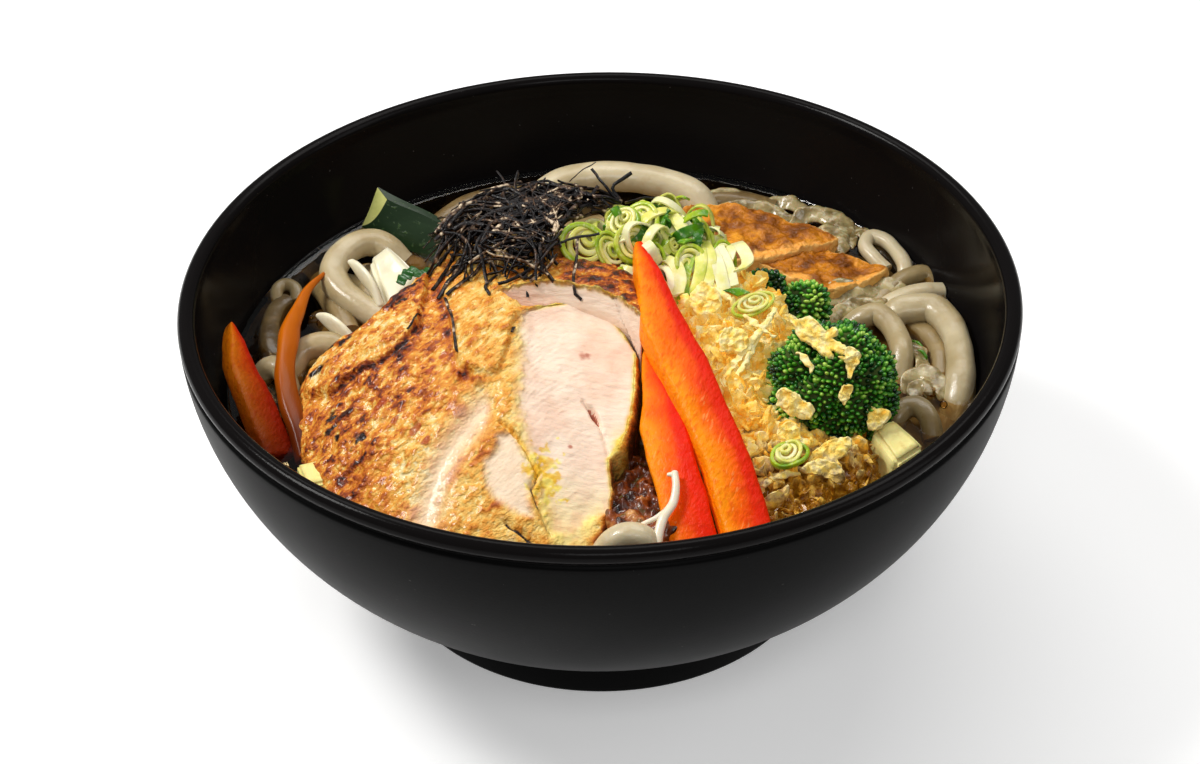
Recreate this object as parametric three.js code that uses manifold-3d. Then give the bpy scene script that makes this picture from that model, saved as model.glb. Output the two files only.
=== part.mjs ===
// Udon noodle bowl: a black bowl of clear broth and thick white noodles, topped with grilled chicken breast,
// shredded seaweed, sliced spring onion, sweet pepper, broccoli, fried tofu and crisp batter crumbs.
// Millimetres, Z up. The bowl's axis is the Z axis and its foot stands on Z = 0.
import * as THREE from "three";
import { mergeVertices } from "three/addons/utils/BufferGeometryUtils.js";
import Module from "manifold-3d";

const wasm = await Module();
wasm.setup();

// Driving sizes of the bowl.
const BODY_RADIUS = 100.2; // widest, at the rim line
const RIM_LINE = 80.7; // height of the widest circle
const LIP_TOP = 82;
const LIP_INNER_RADIUS = 96;
const WALL = 4;
const FOOT_RADIUS = 54.5;
const FOOT_HEIGHT = 11.5;
const FOOT_WALL = 6;
const FLOOR_TOP = 13; // the lowest point inside the bowl
const BOWL_SEGMENTS = 40;

// Driving sizes of the food.
const BROTH_LEVEL = 56;
const MOUND_HEIGHT = 18; // how far the noodles pile up above their edge
const MOUND_EDGE = 56.6;
const NOODLE_RADIUS = 3.3;
const GAP = 0.35; // between neighbouring pieces
const UP = new THREE.Vector3(0, 0, 1);

const part = new THREE.Group();
part.name = "udon_noodle_bowl";

// ---------------------------------------------------------------- solids

function random(seed) {
  let state = seed;
  return (low = 0, high = 1) => {
    state = (state * 1664525 + 1013904223) % 4294967296;
    return low + ((high - low) * state) / 4294967296;
  };
}

// A closed body from points and triangles, turned to face outwards.
function closedBody(positions, triangles) {
  const make = (corners) =>
    new wasm.Manifold(
      new wasm.Mesh({
        numProp: 3,
        vertProperties: new Float32Array(positions),
        triVerts: new Uint32Array(corners),
      }),
    );
  const body = make(triangles);
  if (body.volume() > 0) return body;
  return make(triangles.slice().reverse());
}

// A three.js geometry as a closed body, without the flat triangles that a lathe leaves on its axis.
function bodyOf(geometry) {
  const bare = new THREE.BufferGeometry();
  bare.setAttribute("position", geometry.getAttribute("position"));
  bare.setIndex(geometry.getIndex());
  const merged = mergeVertices(bare, 1e-4);
  const corners = merged.getIndex().array;
  const triangles = [];
  for (let i = 0; i < corners.length; i += 3) {
    const [a, b, c] = corners.slice(i, i + 3);
    if (a !== b && b !== c && c !== a) triangles.push(a, b, c);
  }
  return closedBody(merged.getAttribute("position").array, triangles);
}

// A closed body through a row of rings of points, with a flat end over the first and the last.
function loft(rings) {
  const sides = rings[0].length;
  const points = rings.flat();
  const triangles = [];
  for (let r = 0; r + 1 < rings.length; r++) {
    for (let k = 0; k < sides; k++) {
      const a = r * sides + k;
      const b = r * sides + ((k + 1) % sides);
      triangles.push(a, b, b + sides, a, b + sides, a + sides);
    }
  }
  const last = (rings.length - 1) * sides;
  for (let k = 1; k + 1 < sides; k++) {
    triangles.push(0, k + 1, k);
    triangles.push(last, last + k, last + k + 1);
  }
  return closedBody(points.flatMap((p) => p.toArray()), triangles);
}

// A piece turned round the Z axis from its profile of [radius, height] corners.
function turned(profile, segments) {
  const corners = profile.map(([radius, height]) => new THREE.Vector2(radius, height));
  return bodyOf(new THREE.LatheGeometry(corners, segments).rotateX(Math.PI / 2));
}

// A long piece along a smooth path. size(t) gives its half width and half thickness at share t of the length,
// and square is 1 for a round section and less for a boxier one.
function strip(path, { steps, sides, size, up = UP, square = 1 }) {
  const curve = new THREE.CatmullRomCurve3(path.map((p) => new THREE.Vector3(...p)), false, "centripetal");
  const rings = [];
  for (let i = 0; i <= steps; i++) {
    const t = i / steps;
    const centre = curve.getPointAt(t);
    const along = curve.getTangentAt(t);
    const across = new THREE.Vector3().crossVectors(along, up).normalize();
    const outward = new THREE.Vector3().crossVectors(across, along);
    const [halfWidth, halfThickness] = size(t);
    const ring = [];
    for (let k = 0; k < sides; k++) {
      const angle = ((k + 0.5) / sides) * 2 * Math.PI;
      const c = Math.sign(Math.cos(angle)) * Math.abs(Math.cos(angle)) ** square;
      const s = Math.sign(Math.sin(angle)) * Math.abs(Math.sin(angle)) ** square;
      const corner = centre.clone().addScaledVector(across, halfWidth * c);
      ring.push(corner.addScaledVector(outward, halfThickness * s));
    }
    rings.push(ring);
  }
  return loft(rings);
}

// A piece that lies flat: a closed outline seen from above, rings of points in from it over the top and under
// the bottom, and a rounded or upright side. top(x, y) and bottom(x, y) are heights.
function slab({ outline, centre, corners, top, bottom, shares, edge = 2, under = 0.9 }) {
  const curve = new THREE.CatmullRomCurve3(outline.map(([x, y]) => new THREE.Vector3(x, y, 0)), true, "centripetal");
  const rim = curve.getSpacedPoints(corners).slice(0, corners);
  const hub = new THREE.Vector3(centre[0], centre[1], 0);
  const ringAt = (share, height) =>
    rim.map((p) => {
      const q = hub.clone().lerp(p, share);
      return q.setZ(height(q.x, q.y));
    });
  const low = (x, y) => Math.min(bottom(x, y), top(x, y) - edge - 1);
  return loft([
    ...shares.map((share) => ringAt(share, top)),
    ringAt(1, (x, y) => top(x, y) - edge),
    ringAt(1, (x, y) => low(x, y) + 0.6),
    ringAt(under, low),
    ringAt(0.4, low),
  ]);
}

// The same body with its skin moved outwards by the gap.
function grown(body) {
  const { vertProperties, triVerts, numProp } = body.getMesh();
  const count = vertProperties.length / numProp;
  const point = (i) => new THREE.Vector3().fromArray(vertProperties, i * numProp);
  const faceNormals = [];
  const facesOf = Array.from({ length: count }, () => []);
  const lean = Array.from({ length: count }, () => new THREE.Vector3());
  for (let i = 0; i < triVerts.length; i += 3) {
    const [a, b, c] = [triVerts[i], triVerts[i + 1], triVerts[i + 2]];
    const ab = point(b).sub(point(a));
    const ac = point(c).sub(point(a));
    const normal = ab.cross(ac);
    [a, b, c].forEach((v) => lean[v].add(normal));
    faceNormals.push(normal.clone().normalize());
    [a, b, c].forEach((v) => facesOf[v].push(i / 3));
  }
  const positions = [];
  for (let v = 0; v < count; v++) {
    const out = lean[v].normalize();
    const steepest = Math.min(...facesOf[v].map((f) => faceNormals[f].dot(out)));
    positions.push(...point(v).addScaledVector(out, GAP / Math.max(steepest, 0.45)).toArray());
  }
  return closedBody(positions, Array.from(triVerts));
}

const crosses = (body, room) => body.intersect(room).volume() > 1e-3;

// The room that each body takes from its neighbours. A body that has been cut keeps the room of its whole form.
const rooms = new Map();

function roomOf(body) {
  if (!rooms.has(body)) rooms.set(body, grown(body));
  return rooms.get(body);
}

function joined(bodies) {
  const whole = bodies.reduce((sum, body) => sum.add(body));
  rooms.set(whole, bodies.map(roomOf).reduce((sum, room) => sum.add(room)));
  return whole;
}

// A body cut back from its neighbours, with a gap. Loose scraps are dropped.
function fitted(body, neighbours) {
  const crossing = neighbours.map(roomOf).filter((room) => crosses(body, room));
  const rest = crossing.reduce((left, room) => left.subtract(room), body);
  const largest = rest.decompose().reduce((best, piece) => (piece.volume() > best.volume() ? piece : best));
  rooms.set(largest, roomOf(body));
  return largest;
}

// The core of a heap with those of its small pieces that are clear of the neighbours fused on.
function heaped(core, pieces, neighbours) {
  const clear = pieces.filter((piece) => neighbours.every((neighbour) => !crosses(piece, roomOf(neighbour))));
  return fitted(joined([fitted(core, neighbours), ...clear]), []);
}

function add(name, body, color, roughness, metalness = 0) {
  const { vertProperties, triVerts } = body.getMesh();
  const geometry = new THREE.BufferGeometry();
  geometry.setAttribute("position", new THREE.BufferAttribute(new Float32Array(vertProperties), 3));
  geometry.setIndex(new THREE.BufferAttribute(new Uint32Array(triVerts), 1));
  geometry.computeVertexNormals();
  const mesh = new THREE.Mesh(geometry, new THREE.MeshStandardMaterial({ color, roughness, metalness }));
  mesh.name = name;
  part.add(mesh);
}

// ---------------------------------------------------------------- bowl

// The body's outer radius at a height: a superellipse that closes below the foot.
function bowlRadius(z) {
  const depth = (RIM_LINE - z) / (RIM_LINE + 0.12);
  return BODY_RADIUS * (1 - depth ** 1.87) ** (1 / 2.29);
}

const INSIDE_HEIGHTS = [66, 50, 35, 24, 16];
const innerRadius = (z) => bowlRadius(z - (RIM_LINE - z) * 0.02) - WALL;

// One turned wall: foot ring, body, a fine groove under the rolled lip, and the smooth inside.
function bowlBody() {
  const profile = [[0, FOOT_HEIGHT - 4], [FOOT_RADIUS - FOOT_WALL, FOOT_HEIGHT - 5]];
  profile.push([FOOT_RADIUS - FOOT_WALL + 1, 0], [FOOT_RADIUS - 0.6, 0], [FOOT_RADIUS, 0.8]);
  profile.push([FOOT_RADIUS - 0.4, FOOT_HEIGHT]);
  for (const z of [18, 28, 42, 58, 77.2]) {
    profile.push([bowlRadius(z), z]);
  }
  profile.push([BODY_RADIUS - 1, 78], [BODY_RADIUS, 79], [BODY_RADIUS - 0.1, RIM_LINE]);
  profile.push([BODY_RADIUS - 1.6, LIP_TOP], [LIP_INNER_RADIUS + 0.9, LIP_TOP - 0.2], [LIP_INNER_RADIUS, 80.4]);
  for (const z of INSIDE_HEIGHTS) {
    profile.push([innerRadius(z), z]);
  }
  profile.push([0, FLOOR_TOP]);
  return turned(profile, BOWL_SEGMENTS);
}

const bowl = bowlBody();

// ---------------------------------------------------------------- noodles, bare mound

// The mound of noodles that carries everything: highest behind the middle, lowest at the wall, and pressed down
// where the chicken lies on it.
function moundTop(x, y) {
  const pile = MOUND_HEIGHT * Math.exp(-(((x - 4) / 34) ** 2) - ((y - 18) / 34) ** 2);
  const seat = 9 * Math.exp(-(((x + 34) / 34) ** 2) - ((y + 30) / 36) ** 2);
  return MOUND_EDGE + pile - seat;
}

// The mound's reach at the broth, from the right side round to the left and the front.
const MOUND_REACH = [88, 88, 84, 79, 77, 76, 74, 73, 77, 77, 80, 82, 84, 84, 84, 86];

function moundBody() {
  const corners = 26;
  const reach = new THREE.CatmullRomCurve3(
    MOUND_REACH.map((radius, i) => {
      const angle = (i / MOUND_REACH.length) * 2 * Math.PI;
      return new THREE.Vector3(radius * Math.cos(angle), radius * Math.sin(angle), 0);
    }),
    true,
  );
  const rim = reach.getSpacedPoints(corners).slice(0, corners);
  const ringAt = (limit, height) =>
    rim.map((p) => {
      const q = p.clone().multiplyScalar(Math.min(1, limit / p.length()));
      return q.setZ(height === undefined ? moundTop(q.x, q.y) : height);
    });
  return loft([
    ...[12, 30, 48, 66].map((limit) => ringAt(limit)),
    ringAt(100),
    ringAt(100, 52),
    ringAt(72, 34),
    ringAt(45, 20),
  ]);
}

const mound = moundBody();

// ---------------------------------------------------------------- grilled chicken breast

const RIDGE_X = -18; // where the browned skin ends and the cut face begins
const CROWN = 82;

// Depth of a torn groove that follows a line of points over the meat.
function tear(x, y, line, width, depth) {
  let nearest = Infinity;
  for (let i = 0; i + 1 < line.length; i++) {
    const [ax, ay] = line[i];
    const [bx, by] = line[i + 1];
    const share = ((x - ax) * (bx - ax) + (y - ay) * (by - ay)) / ((bx - ax) ** 2 + (by - ay) ** 2);
    const held = Math.min(1, Math.max(0, share));
    nearest = Math.min(nearest, Math.hypot(x - ax - held * (bx - ax), y - ay - held * (by - ay)));
  }
  return depth * Math.exp(-((nearest / width) ** 2));
}

const GROOVE = [[-29, -40], [-33, -50], [-39, -64], [-42, -76]];
const CRACK = [[-24, -43], [-18, -50], [-14.5, -58], [-13, -72]];

// The front piece: domed browned skin that falls away to the left, and a flatter cut face on the right.
function frontChickenTop(x, y) {
  const dome = CROWN - 0.0041 * y * y;
  const skinFall = 0.0075 * Math.min(0, x - RIDGE_X) ** 2;
  const cutFall = 0.22 * Math.max(0, x - RIDGE_X);
  const torn = Math.max(tear(x, y, GROOVE, 3, 3), tear(x, y, CRACK, 2.2, 2.4));
  return dome - skinFall - cutFall - torn;
}

const frontChickenWhole = slab({
  outline: [
    [-74, -16], [-72, -28], [-67, -41], [-60, -54], [-49, -65], [-35, -73], [-20, -78], [-6, -77],
    [-0.5, -67], [1.5, -59], [0.5, -52], [5, -45], [8.5, -36], [9.3, -27], [8.2, -18], [4, -12],
    [-3, -9.3], [-12, -9], [-19, -8], [-24, 0], [-25, 12], [-26, 24], [-33, 29], [-41, 18],
    [-50, 6], [-60, -1], [-69, -6],
  ],
  centre: [-27, -28],
  corners: 36,
  top: frontChickenTop,
  bottom: (x, y) => Math.max(frontChickenTop(x, y) - 30, 44),
  shares: [0.1, 0.36, 0.6, 0.79, 0.93],
  edge: 3,
});
const frontChicken = fitted(frontChickenWhole, [mound]);

// The piece behind it, whose cut face looks over the front piece and whose skin falls away to the back.
function backChickenTop(x, y) {
  const brow = 0.2 - 0.045 * (x + 9) ** 2 * (x > -9 ? 0.5 : 0.12);
  const ahead = Math.max(0, brow - y);
  const behind = Math.max(0, y - brow);
  return 84 - 0.45 * ahead - 0.009 * behind * behind - 0.004 * (x + 8) ** 2;
}

const backChicken = fitted(
  slab({
    outline: [
      [-24.5, -4], [-17, -8], [-8, -8.7], [0, -8.9], [6, -13], [10.5, -20], [13.5, -15], [13.5, -4],
      [13, 8], [10, 20], [2, 28], [-10, 31], [-20, 27], [-24, 14],
    ],
    centre: [-5, 9],
    corners: 22,
    top: backChickenTop,
    bottom: (x, y) => backChickenTop(x, y) - 20,
    shares: [0.4, 0.85],
    edge: 1.6,
  }),
  [frontChicken, mound],
);

// ---------------------------------------------------------------- sweet pepper, carrot, courgette

// A cut strip of pepper: a blunt point at one end, and widest past the middle.
function pepperStrip(path, width, thickness, up) {
  const size = (t) => {
    const opening = 0.3 + 0.7 * Math.min(1, t / 0.42) ** 0.75;
    return [(width / 2) * opening, (thickness / 2) * (0.55 + 0.45 * Math.min(1, t / 0.15))];
  };
  return strip(path, { steps: 8, sides: 8, size, up, square: 0.62 });
}

const longPepper = fitted(
  pepperStrip(
    [[10.2, 10, 84.6], [11.5, -1, 82.6], [14.2, -14.5, 79], [18.8, -27, 76], [23.4, -40, 72], [28, -53.5, 67],
      [31.7, -69.5, 60], [33.5, -76, 57]],
    11.4,
    6.4,
    new THREE.Vector3(0.22, -0.25, 1),
  ),
  [backChicken, mound],
);

const shortPepper = fitted(
  pepperStrip(
    [[11.6, -18, 74], [12.7, -28, 71.6], [14.2, -39, 69.5], [15.8, -51, 66.5], [18, -61, 63], [20.8, -73, 57.5]],
    10.8,
    6,
    new THREE.Vector3(-0.2, -0.35, 1),
  ),
  [frontChicken, backChicken, longPepper, mound],
);

const leftPepper = fitted(
  pepperStrip(
    [[-87.6, 6, 67], [-86.3, -3, 65], [-84, -12, 62.5], [-81, -21, 59.5], [-77.5, -31, 55.5], [-74.5, -39, 52]],
    11,
    5.4,
    new THREE.Vector3(0.75, -0.3, 0.6),
  ),
  [mound],
);

const carrot = fitted(
  strip(
    [[-68.5, 28, 65], [-72, 19, 64.4], [-73.2, 6, 63.2], [-74, -5, 61.4], [-74, -14, 59], [-71.8, -24, 56],
      [-69, -33, 53]],
    {
      steps: 7,
      sides: 6,
      size: (t) => [0.9 + 1.5 * Math.min(1, t / 0.35), 1.1 + 1.1 * Math.min(1, t / 0.35)],
      up: new THREE.Vector3(0.5, -0.4, 0.8),
      square: 0.7,
    },
  ),
  [frontChicken, leftPepper, mound],
);

// A wedge of courgette with its dark skin to the front and a cut face at its upper end.
const courgette = fitted(
  strip([[-60.5, 63.8, 64], [-56, 59, 63.6], [-48, 53, 61.4], [-38.5, 47.5, 59.5]], {
    steps: 4,
    sides: 10,
    size: (t) => [4.2 + 1.6 * Math.sin(Math.PI * Math.min(1, 0.25 + t)), 6.6 - 0.6 * t],
    up: new THREE.Vector3(-0.25, -0.5, 1),
    square: 0.72,
  }),
  [mound],
);

// ---------------------------------------------------------------- pak choi stem, chips and tofu

// A block with eight corners, given as its lower and then its upper four, each four in order round it.
function block(lower, upper) {
  const ring = (four) => four.map((p) => new THREE.Vector3(...p));
  return loft([ring(lower), ring(upper)]);
}

const stem = fitted(
  block(
    [[-56.5, 39, 57], [-45.5, 27, 56.6], [-49.5, 20.5, 54.6], [-59.5, 31, 55]],
    [[-54.6, 40.5, 67.4], [-43.6, 28.4, 65.6], [-48, 22.6, 61.6], [-58.4, 33.6, 64.6]],
  ),
  [frontChicken, mound],
);

// A thin slice of stem on edge, pointed at both ends.
function sliver(path) {
  const size = (t) => [0.9, 0.5 + 2 * Math.sin(Math.PI * t)];
  return strip(path, { steps: 6, sides: 6, size, square: 0.8 });
}

const upperSliver = fitted(sliver([[-62.4, 35.5, 65.6], [-60, 31.2, 65.6], [-56.6, 26, 64], [-54.4, 21.6, 61.6]]), [
  stem,
]);
const lowerSliver = sliver([[-69.5, 17.4, 62], [-66.4, 13.2, 62.6], [-63, 9.8, 62.2], [-60, 7.4, 61]]);

// A small wavy leaf of the pak choi: a thin sheet with two faces.
function leafBody() {
  const size = (t) => [1 + 3.4 * Math.sin(Math.PI * (0.15 + 0.75 * t)), 0.3];
  return strip([[-49.6, 23.4, 67], [-46.6, 26.4, 68.2], [-43.4, 26, 67.4], [-40.4, 27.6, 68.2], [-37.6, 30, 66]], {
    steps: 8,
    sides: 4,
    size,
  });
}

const leaf = fitted(leafBody(), [frontChicken, stem]);

const paleChip = fitted(
  block(
    [[-71.6, -37.4, 53], [-65.6, -35.4, 53], [-62.6, -44.4, 53], [-69, -45.6, 53]],
    [[-71.2, -37.2, 58.2], [-66, -36, 58.6], [-62.4, -43.6, 58.4], [-68.6, -45, 57.8]],
  ),
  [frontChicken, carrot, leftPepper, mound],
);

const paleBlock = fitted(
  block(
    [[60.5, -37, 54], [66.5, -33.6, 54], [73.4, -42, 53], [65.6, -48, 53]],
    [[62.3, -37.4, 65], [67.8, -33.8, 65.8], [74, -42.6, 64], [67.2, -47.4, 62.8]],
  ),
  [mound],
);

// ---------------------------------------------------------------- fried tofu

function tofuTop(height, slopeX, slopeY) {
  return (x, y) => height - slopeX * (x - 45) + slopeY * (y - 40) + 0.5 * Math.sin(0.42 * x) * Math.cos(0.3 * y);
}

const tofuSlice = (outline, centre, top) =>
  slab({ outline, centre, corners: 18, top, bottom: (x, y) => top(x, y) - 7.5, shares: [0.3, 0.85], edge: 1.2 });

const upperTofu = fitted(
  tofuSlice(
    [
      [19, 56], [24, 61], [34, 61.5], [46, 60], [58, 57], [66, 52], [65.5, 46.5], [57, 42.5], [46, 41], [36, 37],
      [28, 37], [22, 44],
    ],
    [42, 49],
    tofuTop(64.6, 0.07, 0.03),
  ),
  [mound],
);

const lowerTofu = fitted(
  tofuSlice(
    [
      [35, 36], [44, 41.5], [56, 43.5], [68, 41.5], [75, 36.5], [74.5, 32], [67, 28], [58, 25], [50, 23.4],
      [42, 26.4], [36.5, 30],
    ],
    [56, 33.5],
    tofuTop(61.4, 0.06, -0.1),
  ),
  [upperTofu, mound],
);

// ---------------------------------------------------------------- broccoli

// A head of broccoli: a ball of rounded lobes, set evenly by the golden angle.
function floretHead(centre, radius, lobes, columns, rows) {
  const geometry = new THREE.SphereGeometry(radius, columns, rows);
  const points = geometry.getAttribute("position");
  const directions = Array.from({ length: lobes }, (_, i) => {
    const z = 1 - (2 * (i + 0.5)) / lobes;
    const turn = i * 2.39996;
    const flat = Math.sqrt(1 - z * z);
    return new THREE.Vector3(flat * Math.cos(turn), flat * Math.sin(turn), z);
  });
  const reach = Math.sqrt((4 * Math.PI) / lobes) * 0.62;
  for (let i = 0; i < points.count; i++) {
    const p = new THREE.Vector3().fromBufferAttribute(points, i);
    const nearest = Math.min(...directions.map((d) => d.angleTo(p)));
    const bulge = Math.sqrt(Math.max(0, 1 - (nearest / reach) ** 2));
    p.multiplyScalar(0.88 + 0.14 * bulge);
    points.setXYZ(i, centre[0] + p.x, centre[1] + p.y, centre[2] + p.z);
  }
  return bodyOf(geometry);
}

function floret({ centre, radius, lobes, columns, rows, stalk, stalkRadius }) {
  const size = (t) => [stalkRadius * (1.25 - 0.35 * t), stalkRadius * (1.25 - 0.35 * t)];
  const stalkBody = strip([centre, stalk], { steps: 2, sides: 8, size, up: new THREE.Vector3(0.1, 1, 0.1) });
  return joined([floretHead(centre, radius, lobes, columns, rows), stalkBody]);
}

const frontFloret = fitted(
  floret({
    centre: [54, -22.5, 66.5],
    radius: 16.8,
    lobes: 34,
    columns: 20,
    rows: 13,
    stalk: [44, -14, 50],
    stalkRadius: 5,
  }),
  [mound],
);

const backFloret = fitted(
  floret({
    centre: [45.5, 11, 67.5],
    radius: 9.2,
    lobes: 16,
    columns: 14,
    rows: 9,
    stalk: [61, 6, 62],
    stalkRadius: 3.6,
  }),
  [frontFloret, upperTofu, lowerTofu, mound],
);

// ---------------------------------------------------------------- heaps of small things

// A small irregular flake: two rings of five corners.
function flake(at, size, draw) {
  const turn = draw(0, 2 * Math.PI);
  const tilt = new THREE.Euler(draw(-0.7, 0.7), draw(-0.7, 0.7), turn);
  const ringAt = (height, share) =>
    Array.from({ length: 5 }, (_, k) => {
      const angle = (k / 5) * 2 * Math.PI;
      const reach = size * share * draw(0.65, 1.15);
      const corner = new THREE.Vector3(reach * 1.3 * Math.cos(angle), reach * 0.8 * Math.sin(angle), height);
      return corner.applyEuler(tilt).add(new THREE.Vector3(...at));
    });
  return loft([ringAt(-size * 0.32, 1), ringAt(size * 0.32, 0.8)]);
}

// Batter crumbs: a craggy heap beside the peppers and round the broccoli, with loose flakes on top.
function crumbsTop(x, y) {
  const crags = Math.sin(0.9 * x + 0.4 * y) * Math.cos(0.7 * y - 0.3 * x) + Math.sin(0.47 * x - 1.1 * y);
  const underPeppers = 0.16 * Math.max(0, 36 - x);
  return Math.max(74.4 + 0.26 * y, 59.4) + underPeppers - 0.006 * Math.max(0, x - 38) ** 2 + 0.8 * crags;
}

const CRUMB_SPOTS = [
  [29, 3, 3], [33, -4, 3.6], [27, -9, 3.2], [36, -12, 3.4], [31, -19, 3.6], [37, -22, 3], [34, -30, 3.4],
  [37, -38, 3.2], [41, -46, 3.6], [37, -55, 3.2], [46, -55, 3.4], [54, -50, 3.6], [60, -47, 3.2], [50, -44, 3],
];

function crumbsBody() {
  const draw = random(7);
  const neighbours = [longPepper, shortPepper, frontFloret, backFloret, backChicken, frontChicken, paleBlock, mound];
  const core = slab({
    outline: [
      [14, 0], [22, 8], [31, 10], [40, 7], [46, -4], [56, -30], [63, -37], [62, -50], [52, -61], [42, -67],
      [34, -66], [25, -58], [15, -40], [12, -20],
    ],
    centre: [36, -26],
    corners: 22,
    top: crumbsTop,
    bottom: (x, y) => crumbsTop(x, y) - 20,
    shares: [0.3, 0.62, 0.88],
    edge: 1.4,
  });
  const flakes = CRUMB_SPOTS.map(([x, y, size]) => flake([x, y, crumbsTop(x, y) + 0.4], size, draw));
  return heaped(core, flakes, neighbours);
}

const crumbs = crumbsBody();

// Dark crumbs soaked with broth, between the chicken and the short pepper.
function soakedTop(x, y) {
  return 62 + 0.7 * Math.sin(1.3 * x) * Math.cos(0.9 * y) - 0.05 * (y + 50);
}

function soakedBody() {
  const draw = random(11);
  const core = slab({
    outline: [[2, -48], [8, -40], [15, -46], [17, -58], [16, -69], [8, -70], [1, -66], [0, -56]],
    centre: [8, -57],
    corners: 12,
    top: soakedTop,
    bottom: () => 52,
    shares: [0.8],
    edge: 1,
  });
  const spots = [[5, -55], [8, -60], [6, -64]];
  const bits = spots.map(([x, y]) => flake([x, y, soakedTop(x, y)], 2.2, draw));
  return heaped(core, bits, [frontChicken, shortPepper, longPepper, crumbs, mound]);
}

const soakedCrumbs = soakedBody();

// A ring of sliced spring onion: a short open tube whose axis points along the normal.
function onionRing(at, radius, height, normal) {
  const wall = 1.1;
  const profile = [[radius - wall, 0], [radius, 0], [radius, height], [radius - wall, height], [radius - wall, 0]];
  const corners = profile.map(([r, h]) => new THREE.Vector2(r, h));
  const geometry = new THREE.LatheGeometry(corners, 8);
  const turn = new THREE.Quaternion().setFromUnitVectors(
    new THREE.Vector3(0, 1, 0),
    new THREE.Vector3(...normal).normalize(),
  );
  geometry.scale(1, 1, 0.8).applyQuaternion(turn).translate(...at);
  return bodyOf(geometry);
}

function onionHeapTop(x, y) {
  const away = Math.hypot((x - 13) / 24, (y - 20) / 17);
  return 85.5 - 9 * away * away - 0.12 * Math.max(0, x - 18);
}

const RING_SPOTS = [
  [4, 16, 4.6], [8, 25, 4.4], [15, 29, 4.6], [23, 25, 4.8], [13, 16, 4.2], [20, 15, 4.2], [29, 20, 5], [34, 13, 4.8],
  [26, 8, 4.4], [17, 8, 3.8],
];

function onionHeapBody() {
  const draw = random(3);
  const core = slab({
    outline: [[-3, 14], [2, 23], [8, 31], [18, 33], [28, 28], [37, 20], [38, 11], [30, 5], [20, 3], [10, 5], [2, 8]],
    centre: [16, 18],
    corners: 16,
    top: (x, y) => onionHeapTop(x, y) - 1.6 + 0.6 * Math.sin(0.9 * x) * Math.cos(0.8 * y),
    bottom: (x, y) => onionHeapTop(x, y) - 20,
    shares: [0.55],
    edge: 2.4,
  });
  const rings = RING_SPOTS.map(([x, y, radius]) => {
    const normal = [draw(-0.7, 0.7), draw(-1, 0), draw(0.5, 1)];
    return onionRing([x, y, onionHeapTop(x, y) - 2.4], radius, 3.6, normal);
  });
  return heaped(core, rings, [longPepper, backChicken, crumbs, backFloret, upperTofu, lowerTofu, mound]);
}

const onionHeap = onionHeapBody();

// Two loose slices that fell beside the heap.
const looseSlice = (at, radius, height, normal, neighbours) => fitted(onionRing(at, radius, height, normal), neighbours);
const backSlice = looseSlice([33.5, 0.5, 76.6], 5, 3, [0.3, -0.4, 1], [crumbs, onionHeap, longPepper]);
const frontSlice = looseSlice([43.4, -48.4, 65.4], 4.6, 3, [-0.1, -0.5, 1], [crumbs, frontFloret, longPepper]);

// Shredded seaweed: a low tangle with cut strips lying over it and standing out of it.
function seaweedTop(x, y) {
  const away = Math.hypot((x + 13) / 23, (y - 21) / 17);
  return 88.4 - 7 * away * away;
}

function seaweedShred(x, y, heading, length, rise) {
  const reach = [(Math.cos(heading) * length) / 2, (Math.sin(heading) * length) / 2];
  const height = seaweedTop(x, y);
  const path = [
    [x - reach[0], y - reach[1], height - rise * 0.4 - 0.5],
    [x, y, height + 0.5],
    [x + reach[0], y + reach[1], height + rise],
  ];
  return strip(path, { steps: 2, sides: 4, size: () => [0.9, 0.5] });
}

const SHREDS = 24;

function seaweedBody() {
  const draw = random(5);
  const core = slab({
    outline: [[-36, 14], [-33, 26], [-24, 34], [-10, 38], [2, 36], [9, 28], [7, 17], [0, 8], [-10, 6], [-24, 6]],
    centre: [-13, 21],
    corners: 18,
    top: (x, y) => seaweedTop(x, y) - 0.7,
    bottom: (x, y) => seaweedTop(x, y) - 20,
    shares: [0.6],
    edge: 1.6,
  });
  const shreds = [];
  for (let i = 0; i < SHREDS; i++) {
    const angle = i * 2.39996;
    const away = Math.sqrt((i + 0.5) / SHREDS);
    const x = -13 + 21 * away * Math.cos(angle);
    const y = 21 + 14.5 * away * Math.sin(angle);
    const length = draw(10, 17);
    shreds.push(seaweedShred(x, y, draw(0, Math.PI), length, draw(-1, 3.4)));
  }
  return heaped(core, shreds, [frontChicken, backChicken, onionHeap, longPepper, mound]);
}

const seaweed = seaweedBody();

// ---------------------------------------------------------------- loose strips in the broth

const onionSlices = [
  [[30, 71.5, 56.4], [37, 70.4, 57.6], [44, 67, 56.6]],
  [[50.5, 65, 56.6], [58, 62, 58], [64.6, 55.6, 56.8]],
  [[57, 22, 60], [64, 23.4, 59.6], [70.5, 19, 58.2]],
].map((path) => {
  const size = (t) => [1.2 + 1.6 * Math.sin(Math.PI * t), 0.9 + 0.5 * Math.sin(Math.PI * t)];
  return fitted(strip(path, { steps: 4, sides: 6, size }), [upperTofu, lowerTofu, backFloret, mound]);
});

const sprout = fitted(
  strip([[15.2, -59.4, 68.6], [15.4, -63, 67], [14, -66.6, 64.8], [11.6, -69.6, 62.4], [10.4, -73.4, 59]], {
    steps: 7,
    sides: 6,
    size: (t) => [1.2 - 0.3 * t, 1.1 - 0.3 * t],
  }),
  [shortPepper, soakedCrumbs, frontChicken, mound],
);

// ---------------------------------------------------------------- noodles

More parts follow.
